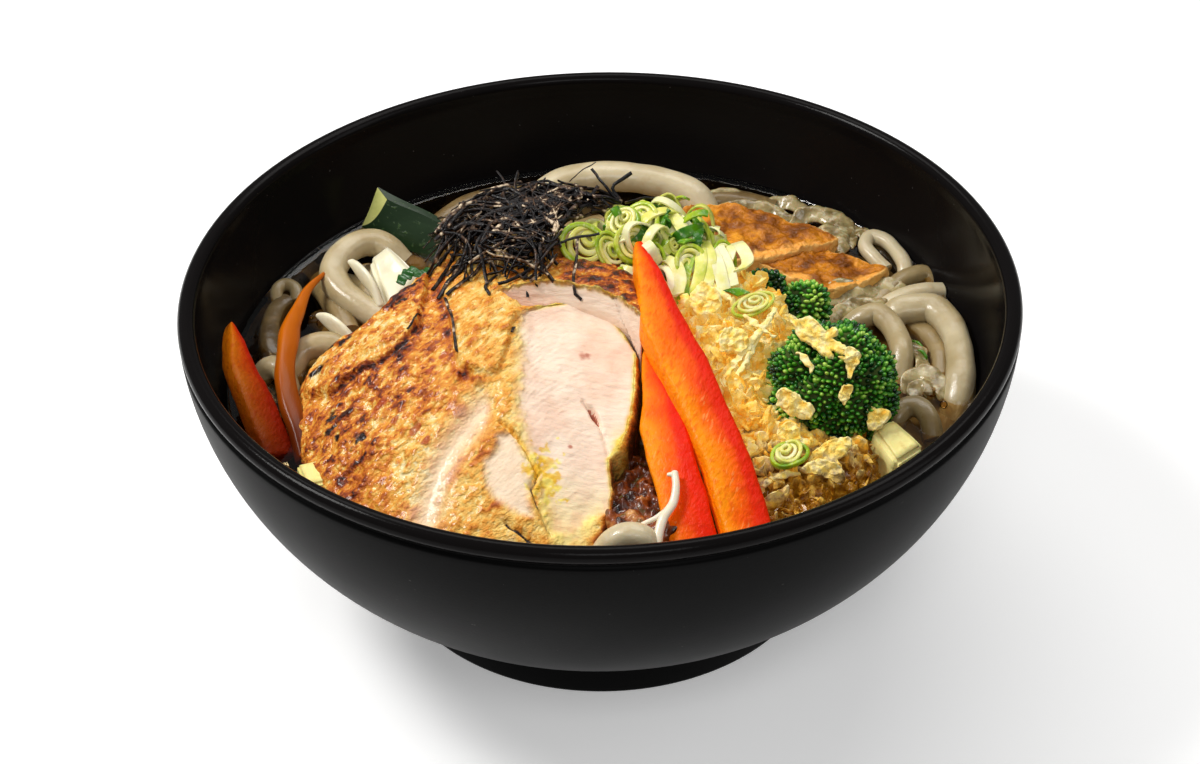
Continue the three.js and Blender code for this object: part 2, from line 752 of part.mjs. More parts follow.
// Centre lines of the noodles that show, lying on the mound.
const NOODLE_PATHS = [
  [[-55, 42, 62], [-61, 41.4, 63.4], [-66.4, 37, 63], [-67.6, 29.6, 61.6], [-64, 22.6, 60], [-58, 17, 58.6]],
  [[-70.6, 30, 57.6], [-67.4, 22, 58.4], [-62.6, 15, 58.6], [-57, 9, 58]],
  [[-76.6, 11.6, 56.4], [-70, 7.6, 58], [-63.6, 5, 58.4]],
  [[-80.6, 34, 56.4], [-79.4, 28, 57.6], [-75, 24, 57.4], [-72, 27.6, 56.6]],
  [[-82.6, 25, 56], [-82.4, 17, 56.6], [-79.4, 9, 56.6], [-76, 2, 56]],
  [[-82.4, -1, 55.4], [-80, -9, 55.6], [-76.4, -17, 55]],
  [[-16, 67.4, 60.6], [-7, 70.6, 63], [4, 70, 63], [16, 66.6, 61], [27, 63.6, 58.4]],
  [[-42, 62, 56], [-32, 65, 58], [-20, 65.6, 59.6], [-8, 61.6, 59]],
  [[66, 13, 57.4], [73.6, 17.6, 58.8], [81, 16.6, 59], [86, 8.4, 58.6], [87, -2, 58], [84.4, -14, 56.4], [80, -21, 54]],
  [[59.6, 1.4, 58], [64.6, 6.6, 58.8], [70, 6, 58.6], [73.4, -1, 58], [73.6, -9, 56.4]],
  [[76, 12, 56.6], [79.6, 5, 56.8], [80.4, -4, 56], [77.6, -12, 54.6]],
  [[72, 24.4, 57], [79, 26.4, 57.4], [84.6, 23, 56]],
  [[68, 48, 56.6], [73, 45.6, 57.4], [77.4, 40, 57], [78.6, 33.6, 55.6]],
  [[69, -21, 57], [74, -25.6, 57], [79, -30, 55]],
  [[-6, -72.4, 56.6], [2, -72.8, 58], [11, -72, 57.4], [17, -72.6, 55]],
];

function noodleBody(path) {
  const steps = Math.round(path.length * 1.4);
  return strip(path, { steps, sides: 6, size: () => [NOODLE_RADIUS, NOODLE_RADIUS * 0.92] });
}

const toppings = [
  frontChicken, backChicken, longPepper, shortPepper, leftPepper, carrot, courgette, stem, upperSliver, lowerSliver,
  leaf, paleChip, paleBlock, upperTofu, lowerTofu, frontFloret, backFloret, crumbs, soakedCrumbs, onionHeap,
  backSlice, frontSlice, seaweed, ...onionSlices, sprout,
];
const strands = NOODLE_PATHS.map((path) => fitted(noodleBody(path), toppings));
const noodles = fitted(joined([mound, ...strands]), []);

// ---------------------------------------------------------------- broth

// Broth fills the bowl up to its level, cut round everything that stands in it.
function brothBody() {
  const profile = [[0, FLOOR_TOP + GAP]];
  for (const z of [20, 38]) {
    profile.push([innerRadius(z) - GAP - 0.3, z + GAP]);
  }
  profile.push([innerRadius(BROTH_LEVEL) - GAP - 0.3, BROTH_LEVEL], [0, BROTH_LEVEL]);
  return turned(profile, BOWL_SEGMENTS);
}

const broth = fitted(brothBody(), [mound, ...strands, ...toppings]);

// ---------------------------------------------------------------- the whole

add("bowl", bowl, 0x171516, 0.22);
add("broth", broth, 0x3a2c18, 0.05);
add("noodles", noodles, 0xe9dfc8, 0.35);
add("chicken_front", frontChicken, 0xe3a95c, 0.45);
add("chicken_back", backChicken, 0xe8b27c, 0.45);
add("seaweed_shreds", seaweed, 0x1d1719, 0.5);
add("spring_onion_heap", onionHeap, 0xa9c95c, 0.35);
add("spring_onion_slice_back", backSlice, 0xb9d27a, 0.35);
add("spring_onion_slice_front", frontSlice, 0xb9d27a, 0.35);
add("pepper_long", longPepper, 0xee4a12, 0.25);
add("pepper_short", shortPepper, 0xe8521c, 0.25);
add("pepper_left", leftPepper, 0xb8380f, 0.25);
add("carrot_strip", carrot, 0xcf7a1e, 0.3);
add("courgette_wedge", courgette, 0x1f3a1c, 0.3);
add("pak_choi_stem", stem, 0xf0ecd6, 0.35);
add("pak_choi_leaf", leaf, 0x2c6a2c, 0.4);
add("stem_sliver_upper", upperSliver, 0xf3efdf, 0.35);
add("stem_sliver_lower", lowerSliver, 0xf3efdf, 0.35);
add("pale_chip", paleChip, 0xd9d7a0, 0.4);
add("pale_block", paleBlock, 0xe6dc96, 0.4);
add("tofu_upper", upperTofu, 0xb06a2c, 0.4);
add("tofu_lower", lowerTofu, 0xb9742f, 0.4);
add("broccoli_front", frontFloret, 0x1f5a22, 0.5);
add("broccoli_back", backFloret, 0x2f6a28, 0.5);
add("batter_crumbs", crumbs, 0xdcaa55, 0.6);
add("soaked_crumbs", soakedCrumbs, 0x4a2a17, 0.3);
onionSlices.forEach((slice, i) => add("onion_slice_" + (i + 1), slice, 0xbfb39a, 0.25));
add("bean_sprout", sprout, 0xf2e6d2, 0.35);

export default part;
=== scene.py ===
import random
from math import cos, exp, hypot, pi, radians, sin, sqrt

import bmesh
import bpy
import numpy as np
from mathutils import Matrix, Vector, noise
from mathutils.bvhtree import BVHTree


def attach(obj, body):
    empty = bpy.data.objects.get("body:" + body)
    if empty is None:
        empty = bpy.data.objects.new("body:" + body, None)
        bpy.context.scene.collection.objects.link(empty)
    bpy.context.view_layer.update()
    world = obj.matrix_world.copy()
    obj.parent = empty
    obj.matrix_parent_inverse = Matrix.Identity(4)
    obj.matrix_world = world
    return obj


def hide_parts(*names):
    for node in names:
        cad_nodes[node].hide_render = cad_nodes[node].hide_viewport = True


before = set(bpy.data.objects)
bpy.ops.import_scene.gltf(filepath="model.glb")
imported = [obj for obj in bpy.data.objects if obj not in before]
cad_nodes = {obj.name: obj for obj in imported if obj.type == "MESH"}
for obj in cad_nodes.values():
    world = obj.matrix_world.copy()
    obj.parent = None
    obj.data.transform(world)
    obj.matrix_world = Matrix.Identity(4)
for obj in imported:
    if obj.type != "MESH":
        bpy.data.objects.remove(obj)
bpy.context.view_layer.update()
scene = bpy.context.scene

# ---------------------------------------------------------------- camera, table and light
# A bowl served on a plain pale table, under large soft lamps: the strongest high on the left, one behind, one
# on the right and one in front. Their long reflections draw the rim and the wet noodles.

CAMERA_PLACE = (-0.000306, -0.54926, 0.46070)
CAMERA_DROP = radians(36.62)  # how far the camera looks down
CAMERA_ROLL = radians(1.18)

camera_data = bpy.data.cameras.new("camera")
camera_data.sensor_width = 36
camera_data.lens = 84
camera = bpy.data.objects.new("camera", camera_data)
scene.collection.objects.link(camera)
tilt = Matrix.Rotation(pi / 2 - CAMERA_DROP, 4, "X") @ Matrix.Rotation(-CAMERA_ROLL, 4, "Z")
camera.matrix_world = Matrix.Translation(CAMERA_PLACE) @ tilt
scene.camera = camera
scene.view_settings.view_transform = "Standard"


def softbox(name, place, aim, size, watts, tint=(1, 1, 1)):
    """A rectangular lamp that faces the point it is aimed at."""
    data = bpy.data.lights.new(name, "AREA")
    data.shape = "RECTANGLE"
    data.size, data.size_y = size
    data.energy = watts
    data.color = tint
    lamp = bpy.data.objects.new(name, data)
    turn = (Vector(aim) - Vector(place)).to_track_quat("-Z", "Y")
    lamp.matrix_world = Matrix.Translation(place) @ turn.to_matrix().to_4x4()
    scene.collection.objects.link(lamp)


BOWL_MIDDLE = (0, 0, 0.06)
softbox("lamp_key", (-0.75, 0.15, 1.0), BOWL_MIDDLE, (0.36, 0.36), 10.5, (1, 0.99, 0.97))
softbox("lamp_above", (0.1, 0.6, 1.05), BOWL_MIDDLE, (1.1, 0.5), 5.6, (1, 0.985, 0.96))
softbox("lamp_right", (1.0, -0.2, 0.75), BOWL_MIDDLE, (0.4, 0.9), 1.8)
softbox("lamp_front", (0.1, -0.95, 1.15), BOWL_MIDDLE, (0.6, 0.4), 3.6)

world = bpy.data.worlds.new("studio")
world.use_nodes = True
world.node_tree.nodes["Background"].inputs["Color"].default_value = (1, 1, 1, 1)
world.node_tree.nodes["Background"].inputs["Strength"].default_value = 0.19
scene.world = world


class Value:
    """A number inside a node tree, so that its maths can be written as Python."""

    def __init__(self, graph, socket):
        self.graph = graph
        self.socket = socket

    def maths(self, operation, first, second):
        return self.graph.node("ShaderNodeMath", {"operation": operation}, {0: first, 1: second})

    def __add__(self, other):
        return self.maths("ADD", self, other)

    def __mul__(self, other):
        return self.maths("MULTIPLY", self, other)

    def __sub__(self, other):
        return self.maths("SUBTRACT", self, other)

    def __rsub__(self, other):
        return self.maths("SUBTRACT", other, self)

    __radd__ = __add__
    __rmul__ = __mul__


class Graph:
    """A node tree, written node by node: a type, its settings, then the values or links of its sockets."""

    def __init__(self, tree):
        self.tree = tree

    def node(self, kind, settings=None, inputs=None, output=0):
        made = self.tree.nodes.new(kind)
        for name, value in (settings or {}).items():
            if name == "stops":
                while len(made.color_ramp.elements) < len(value):
                    made.color_ramp.elements.new(1)
                for element, (position, colour) in zip(made.color_ramp.elements, value):
                    element.position = position
                    element.color = colour
            else:
                setattr(made, name, value)
        for name, value in (inputs or {}).items():
            if isinstance(value, Value):
                self.tree.links.new(value.socket, made.inputs[name])
            else:
                made.inputs[name].default_value = value
        return Value(self, made.outputs[output]) if len(made.outputs) else made

    def noise(self, size, detail=3.0, stretch=(1, 1, 1), turn=0.0, seed=0.0):
        """Smooth noise from 0 to 1 with blotches about size metres across, turned about Z, and drawn out
        along an axis whose stretch is below 1."""
        place = self.node("ShaderNodeTexCoord", output="Object")
        away, scale = (seed * 0.1,) * 3, tuple(1 / s for s in stretch)
        mapped = {"Vector": place, "Location": away, "Rotation": (0, 0, turn), "Scale": scale}
        spread = self.node("ShaderNodeMapping", {"vector_type": "TEXTURE"}, mapped)
        return self.node("ShaderNodeTexNoise", {}, {"Vector": spread, "Scale": 1 / size, "Detail": detail})

    def mark(self, name):
        """A number that the mesh keeps at each of its points."""
        return self.node("ShaderNodeAttribute", {"attribute_name": name}, output="Fac")

    def kept(self, name, kind="FLOAT"):
        """A number or vector that the mesh keeps at each point, read while a shape is being made."""
        return self.node("GeometryNodeInputNamedAttribute", {"data_type": kind}, {"Name": name})

    def step(self, value, low, high):
        """0 below low, 1 above high, and smooth between."""
        return self.node(
            "ShaderNodeMapRange", {"interpolation_type": "SMOOTHSTEP"}, {"Value": value, 1: low, 2: high}
        )

    def ramp(self, value, *stops):
        """A colour for each value, from stops of (position, colour)."""
        stops = [(position, rgb(colour)) for position, colour in stops]
        return self.node("ShaderNodeValToRGB", {"stops": stops}, {"Fac": value})

    def blend(self, share, first, second):
        """The first colour at share 0 and the second at 1."""
        return self.node("ShaderNodeMix", {"data_type": "RGBA"}, {0: share, 6: rgb(first), 7: rgb(second)}, 2)

    def bump(self, height, depth, strength=1.0):
        """A normal for relief of that depth in metres, where height runs from 0 to 1."""
        return self.node("ShaderNodeBump", {}, {"Height": height, "Distance": depth, "Strength": strength})


def rgb(colour):
    """A colour as a screen shows it, 0 to 255, in the linear values that a shader takes. A socket's stays."""
    if isinstance(colour, Value):
        return colour
    return (*[((c / 255 + 0.055) / 1.055) ** 2.4 if c > 10 else c / 3295 for c in colour], 1)


def finish(name, dress):
    """A material: dress(graph) gives the values and links of its surface shader's sockets."""
    made = bpy.data.materials.new(name)
    made.use_nodes = True
    graph = Graph(made.node_tree)
    surface = made.node_tree.nodes["Principled BSDF"]
    for socket, value in dress(graph).items():
        if isinstance(value, Value):
            made.node_tree.links.new(value.socket, surface.inputs[socket])
        else:
            surface.inputs[socket].default_value = value
    return made


def table_finish(g):
    cloud = g.noise(0.3)
    return {
        "Base Color": g.blend(cloud, (250, 250, 250), (254, 254, 254)),
        "Roughness": 0.55 + 0.1 * cloud,
        "Emission Color": (1, 1, 1, 1),
        "Emission Strength": 0.3,
    }


MM = 0.001
TABLE_RADIUS = 4000
TABLE_TOP = -0.05  # a hair under the foot ring
TABLE_UNDERSIDE = -2


def outwards(mesh):
    """Turns every face of a closed mesh outwards."""
    shell = bmesh.new()
    shell.from_mesh(mesh)
    bmesh.ops.recalc_face_normals(shell, faces=shell.faces)
    shell.to_mesh(mesh)
    shell.free()


def mesh_of(name, points, edges, faces, marks=None):
    """A mesh from points in millimetres. marks are numbers or vectors kept at each point."""
    mesh = bpy.data.meshes.new(name)
    mesh.from_pydata((np.asarray(points, float) * MM).tolist(), edges, faces)
    for mark, values in (marks or {}).items():
        values = np.asarray(values, np.float32)
        kind, field = ("FLOAT", "value") if values.ndim == 1 else ("FLOAT_VECTOR", "vector")
        mesh.attributes.new(mark, kind, "POINT").data.foreach_set(field, values.ravel())
    return mesh


def smooth_mesh(name, points, faces, marks=None):
    """A closed, smooth-shaded mesh with its faces outwards."""
    mesh = mesh_of(name, points, [], faces, marks)
    outwards(mesh)
    mesh.shade_smooth()
    return mesh


def piece_of(name, mesh):
    """A mesh as an object at the origin of the scene."""
    piece = bpy.data.objects.new(name, mesh)
    scene.collection.objects.link(piece)
    return piece


def solid(name, points, faces, made, marks=None):
    """A finished piece from points in millimetres."""
    mesh = smooth_mesh(name, points, faces, marks)
    mesh.materials.append(made)
    return piece_of(name, mesh)


def turned(profile, segments):
    """Points and faces turned round the Z axis from [radius, height] corners, closed where they touch it."""
    points, rings = [], []
    for radius, height in profile:
        turns = 1 if radius == 0 else segments
        rings.append([len(points) + k for k in range(turns)])
        for k in range(turns):
            angle = 2 * pi * k / segments
            points.append((radius * cos(angle), radius * sin(angle), height))
    faces = []
    for low, high in zip(rings, rings[1:]):
        for k in range(segments):
            below = [low[k % len(low)], low[(k + 1) % len(low)]]
            above = [high[(k + 1) % len(high)], high[k % len(high)]]
            faces.append(list(dict.fromkeys(below + above)))
    return points, faces


profile = [(0, TABLE_UNDERSIDE), (TABLE_RADIUS, TABLE_UNDERSIDE), (TABLE_RADIUS, TABLE_TOP), (0, TABLE_TOP)]
table = solid("table", *turned(profile, 64), finish("table_top", table_finish))

# ---------------------------------------------------------------- bowl
# A pressed melamine bowl, black all through. It stands on a turned-in foot ring. The body is satin outside, a
# fine groove parts it from the rolled lip, and the lip and the inside are glossy.

BODY_RADIUS = 100.2
RIM_LINE = 80.7  # height of the widest circle
WALL = 4.0
FOOT_RADIUS = 54.5
FLOOR_TOP = 13.0
LIP_START = 78.1  # the height in the groove where the gloss begins
LIP_MIDDLE = (98.1, 80.0)
LIP_HALF = (2.1, 2.0)  # half its thickness and half its height
BOWL_SEGMENTS = 160


def body_radius(height):
    """The radius of the outside: full near the rim, and drawn in towards the foot."""
    depth = (RIM_LINE - height) / (RIM_LINE + 0.12)
    return BODY_RADIUS * (1 - depth**1.87) ** (1 / 2.29)


def inner_radius(height):
    return body_radius(height - (RIM_LINE - height) * 0.02) - WALL


def bowl_profile():
    """From the underside over the foot ring, the outside, the groove, the lip and the inside to the floor."""
    corners = [(0, 7.5), (46, 6.7), (48.2, 6.2), (49.1, 4.8), (49.5, 0.6), (50.1, 0.0), (53.7, 0.0),
               (54.3, 0.3)]
    corners += [(FOOT_RADIUS, 0.9), (54.3, 6), (54.1, 10.6), (54.4, 11.4), (55.6, 12.2)]
    corners += [(body_radius(z), z) for z in np.linspace(13.4, 76.9, 56)]
    corners += [(100.0, 77.4), (99.5, 77.75), (99.25, 78.0), (99.35, 78.35)]
    for angle in np.radians(np.linspace(-38, 182, 26)):
        radius = LIP_MIDDLE[0] + LIP_HALF[0] * cos(angle)
        corners.append((radius, LIP_MIDDLE[1] + LIP_HALF[1] * sin(angle)))
    corners += [(inner_radius(z), z) for z in np.linspace(78.2, 16.5, 48)]
    corners += [(r, FLOOR_TOP + 2.6 * (r / 40) ** 3.2) for r in (36, 28, 20, 10)]
    return corners + [(0, FLOOR_TOP)]


def bowl_finish(g):
    gloss = g.mark("gloss")
    haze = g.noise(0.02, 4)
    grain = g.noise(0.0006, 2)
    specks = g.step(g.noise(0.0011, 1, seed=3.0), 0.79, 0.82)
    # The glossy lip and inside get a lighter black than the satin outside. This is painted light for the dull
    # glow the inside shows, since the melamine is the same black all through.
    black = g.blend(gloss, g.blend(haze, (3, 3, 3), (5, 5, 5)), (17, 15, 15))
    return {
        "Base Color": g.blend(specks * 0.4, black, (95, 92, 90)),
        "Roughness": 0.40 + 0.08 * haze - gloss * (0.26 + 0.06 * haze),
        "Specular IOR Level": 0.05,
        "Normal": g.bump(grain, 0.00004, 0.5),
    }


def settle(piece, slot, *nodes):
    """Fixes a finished piece to the one body, and hides the nodes that it stands for. Its slot is not used.
    """
    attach(piece, "root")
    if nodes:
        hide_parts(*nodes)


profile = bowl_profile()
first_glossy = next(i for i, (radius, height) in enumerate(profile) if height > LIP_START)
gloss = []
for i, (radius, height) in enumerate(profile):
    gloss += [float(i >= first_glossy)] * (BOWL_SEGMENTS if radius else 1)
bowl_material = finish("black_melamine", bowl_finish)
bowl = solid("bowl_shell", *turned(profile, BOWL_SEGMENTS), bowl_material, {"gloss": gloss})
settle(bowl, "bowl", "bowl")

# ---------------------------------------------------------------- broth
# Clear soy broth, pale brown, up to its level. It climbs the wall a little, and its surface lies in faint
# ripples.

BROTH_LEVEL = 56.0
CLIMB = 1.5
CLIMB_REACH = 1.5  # how fast the climb dies away from the wall


def broth_profile():
    """From the floor up along the wall, then over the surface to the middle."""
    edge = inner_radius(BROTH_LEVEL) - 0.4
    corners = [(0, FLOOR_TOP + 0.4), (30, FLOOR_TOP + 1.6)]
    corners += [(inner_radius(z) - 0.5, z) for z in np.linspace(17.5, BROTH_LEVEL - 1, 12)]
    for back in (0, 0.3, 0.7, 1.2, 2, 3.2, 5, 8, 14, 24, 36, 50, 64, 78):
        corners.append((edge - back, BROTH_LEVEL + CLIMB * exp(-back / CLIMB_REACH)))
    return corners + [(0, BROTH_LEVEL)]


def broth_material():
    made = bpy.data.materials.new("clear_broth")
    made.use_nodes = True
    made.node_tree.nodes.clear()
    g = Graph(made.node_tree)
    ripple = g.bump(g.noise(0.016, 2) * 0.7 + g.noise(0.005, 1) * 0.3, 0.0009, 0.5)
    behind = g.node("ShaderNodeBsdfTransparent", {}, {"Color": rgb((246, 230, 196))})
    gloss = {"Color": (1, 1, 1, 1), "Roughness": 0.03, "Normal": ripple}
    shine = g.node("ShaderNodeBsdfAnisotropic", {}, gloss)
    share = g.node("ShaderNodeFresnel", {}, {"IOR": 1.34, "Normal": ripple})
    whole = g.node("ShaderNodeMixShader", {}, {0: share, 1: behind, 2: shine})
    g.node("ShaderNodeOutputMaterial", {}, {"Surface": whole})
    return made


broth = solid("broth_pool", *turned(broth_profile(), 128), broth_material())
settle(broth, "broth", "broth")

# ---------------------------------------------------------------- noodles
# Thick wheat noodles, square-cut with soft edges, heaped in the broth and wet on top. A plain core fills the
# heap under them. The strands that show lie in loops, and many more fill the heap's skin.

NOODLE_WIDTH = 7.0
NOODLE_THICKNESS = 6.2
NOODLE_ROUNDING = 2.7
HEAP_EDGE = 56.6
HEAP_HEIGHT = 18.0


def heap_top(x, y):
    """The height of the heap: a pile under the toppings, less a seat for the front chicken."""
    pile = HEAP_HEIGHT * np.exp(-(((x - 4) / 34) ** 2) - ((y - 18) / 34) ** 2)
    seat = 9 * np.exp(-(((x + 34) / 34) ** 2) - ((y + 30) / 36) ** 2)
    return HEAP_EDGE + pile - seat


def smooth_line(points, count, closed=False):
    """Evenly spaced points on a smooth line through the given ones."""
    knots = [Vector(p) for p in points]
    total = len(knots)
    fine = 24  # points from one knot to the next, before they are spaced evenly
    dense = []
    for i in range(total if closed else total - 1):
        start, end = knots[i], knots[(i + 1) % total]
        before = knots[i - 1] if closed or i else start * 2 - end
        after = knots[(i + 2) % total] if closed or i + 2 < total else end * 2 - start
        a, b, c = [max((q - p).length, 1e-6) ** 0.5 for p, q in ((before, start), (start, end), (end, after))]
        leaving = ((start - before) / a - (end - before) / (a + b) + (end - start) / b) * b
        arriving = ((end - start) / b - (after - start) / (b + c) + (after - end) / c) * b
        for k in range(fine):
            s = k / fine
            near, far = 2 * s**3 - 3 * s**2 + 1, 3 * s**2 - 2 * s**3
            bend = leaving * (s**3 - 2 * s**2 + s) + arriving * (s**3 - s**2)
            dense.append(start * near + end * far + bend)
    dense.append(knots[0] if closed else knots[-1])
    line = np.array(dense)
    reach = np.concatenate([[0], np.cumsum(np.linalg.norm(np.diff(line, axis=0), axis=1))])
    wanted = np.linspace(0, reach[-1], count, endpoint=not closed)
    return np.stack([np.interp(wanted, reach, line[:, axis]) for axis in range(line.shape[1])], axis=1)


def line_mesh(name, lines, marks, closed=None):
    """Lines in millimetres as a mesh of edges. marks[name] has one number or vector for each line, and closed
    says which lines come back to their start."""
    edges, first = [], 0
    for line, loop in zip(lines, closed or [False] * len(lines)):
        count = len(line)
        edges += [(first + k, first + (k + 1) % count) for k in range(count if loop else count - 1)]
        first += count
    counts = [len(line) for line in lines]
    spread = {mark: np.repeat(np.array(values), counts, axis=0) for mark, values in marks.items()}
    return mesh_of(name, np.concatenate(lines), edges, [], spread)


def grown(name, seed_mesh, inputs, steps):
    """The plain mesh object that Geometry Nodes make from a seed mesh. inputs is {label: value}, and
    steps(graph, inputs) gives the finished geometry."""
    tree = bpy.data.node_groups.new(name + "_steps", "GeometryNodeTree")
    tree.interface.new_socket("Geometry", in_out="INPUT", socket_type="NodeSocketGeometry")
    tree.interface.new_socket("Geometry", in_out="OUTPUT", socket_type="NodeSocketGeometry")
    keys = {}
    for label, value in inputs.items():
        kind = {float: "NodeSocketFloat", int: "NodeSocketInt"}.get(type(value), "NodeSocketMaterial")
        keys[label] = tree.interface.new_socket(label, in_out="INPUT", socket_type=kind).identifier
    graph = Graph(tree)
    entry = tree.nodes.new("NodeGroupInput")
    given = {label: Value(graph, entry.outputs[label]) for label in ["Geometry", *inputs]}
    graph.node("NodeGroupOutput", {}, {0: steps(graph, given)})
    holder = piece_of(name + "_seed", seed_mesh)
    modifier = holder.modifiers.new("steps", "NODES")
    modifier.node_group = tree
    for label, value in inputs.items():
        modifier[keys[label]] = value
    depsgraph = bpy.context.evaluated_depsgraph_get()
    mesh = bpy.data.meshes.new_from_object(holder.evaluated_get(depsgraph), depsgraph=depsgraph)
    bpy.data.objects.remove(holder)
    outwards(mesh)
    return piece_of(name, mesh)


def ribbon(g, line, width, thickness, scale, rounding=None, count=2):
    """A four-sided section swept along lines, with that many steps round each corner."""
    size = {"Width": width, "Height": thickness}
    section = g.node("GeometryNodeCurvePrimitiveQuadrilateral", {"mode": "RECTANGLE"}, size)
    if rounding is not None:
        corner = {"Curve": section, "Count": count, "Radius": rounding, "Limit Radius": True}
        section = g.node("GeometryNodeFilletCurve", {"mode": "POLY"}, corner)
    sweep = {"Curve": line, "Profile Curve": section, "Scale": scale, "Fill Caps": True}
    return g.node("GeometryNodeCurveToMesh", {}, sweep)


def dressed(g, pieces, given):
    """The pieces made real, smooth-shaded and in their material."""
    whole = g.node("GeometryNodeRealizeInstances", {}, {"Geometry": pieces})
    smooth = g.node("GeometryNodeSetShadeSmooth", {}, {"Geometry": whole})
    return g.node("GeometryNodeSetMaterial", {}, {"Geometry": smooth, "Material": given["Material"]})


def strand_steps(g, given):
    """Strands swept along their lines, a little thicker in one place than in the next."""
    line = g.node("GeometryNodeMeshToCurve", {}, {"Mesh": given["Geometry"]})
    place = g.node("GeometryNodeInputPosition")
    swell = g.node("ShaderNodeTexNoise", {}, {"Vector": place, "Scale": 80.0, "Detail": 1.0})
    scale = g.kept("girth") * (0.80 + 0.4 * swell)
    strands = ribbon(g, line, given["Width"], given["Thickness"], scale, given["Rounding"], 3)
    return dressed(g, strands, given)


# Each is its line, how thick it is beside a plain noodle, and how far the broth has stained it.
SHOWN_NOODLES = [
    ([(71, 17, 54), (74.2, 19.3, 57.9), (78.4, 19.5, 58.6), (82.5, 18.9, 58.9), (85.5, 14.1, 58.9),
      (87.1, 6.4, 58.9), (87.2, -1.4, 58.5), (86.6, -8.2, 57.4), (85.4, -13.4, 54.6),
      (83.4, -18, 49)], 1.04, 0.15),
    ([(60, 15, 54), (63.5, 16.8, 56.9), (66, 17, 58.5), (68.5, 17.3, 58.9), (71.1, 13.7, 59),
      (73, 7.5, 58.5), (73.4, 1.1, 57.9), (72.3, -5.1, 53)], 0.80, 0.3),
    ([(69, 22, 53), (71.5, 24.1, 55.9), (76.8, 27.2, 56.9), (81.9, 28.6, 57.3),
      (86.4, 29.7, 56.5)], 0.72, 0.0),
    ([(73.4, 41.3, 55.5), (70.4, 45.4, 56.9), (68.7, 49.6, 57.5), (70.5, 53.5, 57.7), (73.8, 51.9, 57.7),
      (76.2, 47.5, 57.5), (78, 42, 56.9), (78.2, 38.9, 55.6)], 0.56, -0.4),
    ([(77.7, 17.9, 53.9), (80.5, 13.9, 55), (82.6, 8.4, 55), (83.1, 2.2, 54.9),
      (82.5, -3.9, 53.5)], 0.80, 0.6),
    ([(69, -22, 52), (70.1, -20.9, 55.6), (72.4, -18.9, 57), (75.2, -19.4, 57.6), (77.2, -22.9, 57.2),
      (78.3, -27.6, 54)], 0.74, 0.5),
    ([(-50, 44, 59), (-53.3, 45.7, 61.9), (-56.8, 47, 63.3), (-60.3, 46.1, 63.9), (-63.7, 43.1, 63.9),
      (-66.3, 38.7, 63.3), (-67, 33.8, 62.4), (-65, 29, 61.3), (-60.8, 24.3, 60.5),
      (-54, 19.8, 58)], 1.02, 0.1),
    ([(-71, 39.1, 55.6), (-68.4, 31.7, 57.8), (-66.1, 26, 58), (-64, 21.2, 57.8),
      (-62.5, 16.5, 57)], 0.85, 0.5),
    ([(-76.5, 1.9, 53.9), (-73.5, 7.1, 57.9), (-70.3, 8.6, 58.9), (-65.9, 8.6, 59.1),
      (-60.4, 6, 58)], 0.86, 0.2),
    ([(-84.2, 1.2, 54), (-80.7, 2, 57.3), (-77.9, 0.3, 57.9), (-75.7, -6, 57.9),
      (-74.1, -12.5, 55.9)], 0.80, 0.2),
    ([(-79, 33.8, 54.3), (-81.2, 30.4, 54.6), (-82.3, 24.5, 54.6), (-82.3, 17.9, 54.4), (-81.3, 12.5, 54),
      (-78.6, 9, 53)], 0.80, 0.9),
    ([(-81.4, 32.7, 55), (-81.8, 36.2, 56.6), (-79.9, 38.3, 57), (-77.3, 36.7, 56.8),
      (-76.5, 32.8, 55.4)], 0.50, 0.4),
    ([(-20, 59, 57), (-17.6, 62.5, 60.6), (-13.7, 69.5, 62.6), (-8.2, 72.9, 63.8), (-1.8, 74.2, 64.4),
      (6.1, 74.2, 64.5), (13.9, 73.1, 63.9), (20.7, 70.8, 63), (25.6, 67.8, 61.4),
      (28.6, 63.4, 57.4)], 1.16, 0.0),
    ([(-46, 62, 54), (-39.3, 67.4, 56.8), (-34.9, 70.6, 57.7), (-29.6, 72.8, 58.3), (-23.6, 74.3, 58.7),
      (-14.4, 74, 58)], 0.95, 0.9),
    ([(27.2, 75, 54.4), (33, 75.5, 55.2), (39.8, 73.6, 55.4), (46.9, 71.2, 54.6)], 0.95, 0.8),
    ([(69.5, 26.6, 54.9), (74.2, 32.1, 56.5), (78.4, 35.8, 56.9), (83.2, 37.6, 56.5),
      (85.1, 35.4, 54.8)], 0.7, 0.5),
    ([(-72, 46, 52), (-64, 39, 55.6), (-58, 32, 57), (-54, 28, 56)], 0.95, 0.4),
    ([(-60, 48, 53), (-57, 40, 57), (-59, 30, 57.4), (-58, 22, 56)], 0.9, 0.4),
    ([(-1, -72, 57), (1.6, -71.6, 61.4), (5, -71.4, 63.2), (8.6, -71.8, 62.6),
      (11.6, -73, 58)], 0.84, -0.1),
    ([(-40, 62, 54), (-50, 66, 55.4), (-60, 62, 55.6), (-68, 54, 54.6)], 0.8, 0.5),
]
FILLING_NOODLES = 150
FILLING_REACH = 83  # how far from the middle they may run
FILLING_STEP = 6  # from one point to the next


def filling_noodle(draw):
    """A noodle that wanders over the heap's skin and sinks towards its edge."""
    away, turn = (FILLING_REACH - 1) * sqrt(draw.random()), draw.uniform(0, 2 * pi)
    x, y = away * cos(turn), away * sin(turn)
    heading, bend = draw.uniform(0, 2 * pi), draw.uniform(-0.28, 0.28)
    depth = draw.uniform(3.3, 5.8)
    line = []
    for _ in range(draw.randint(6, 11)):
        if hypot(x, y) > FILLING_REACH:
            break
        sink = 3.5 * max(0, (hypot(x, y) - 66) / 18)
        line.append((x, y, float(heap_top(x, y)) - depth - sink))
        x += FILLING_STEP * cos(heading)
        y += FILLING_STEP * sin(heading)
        heading += bend + draw.uniform(-0.22, 0.22)
    return line


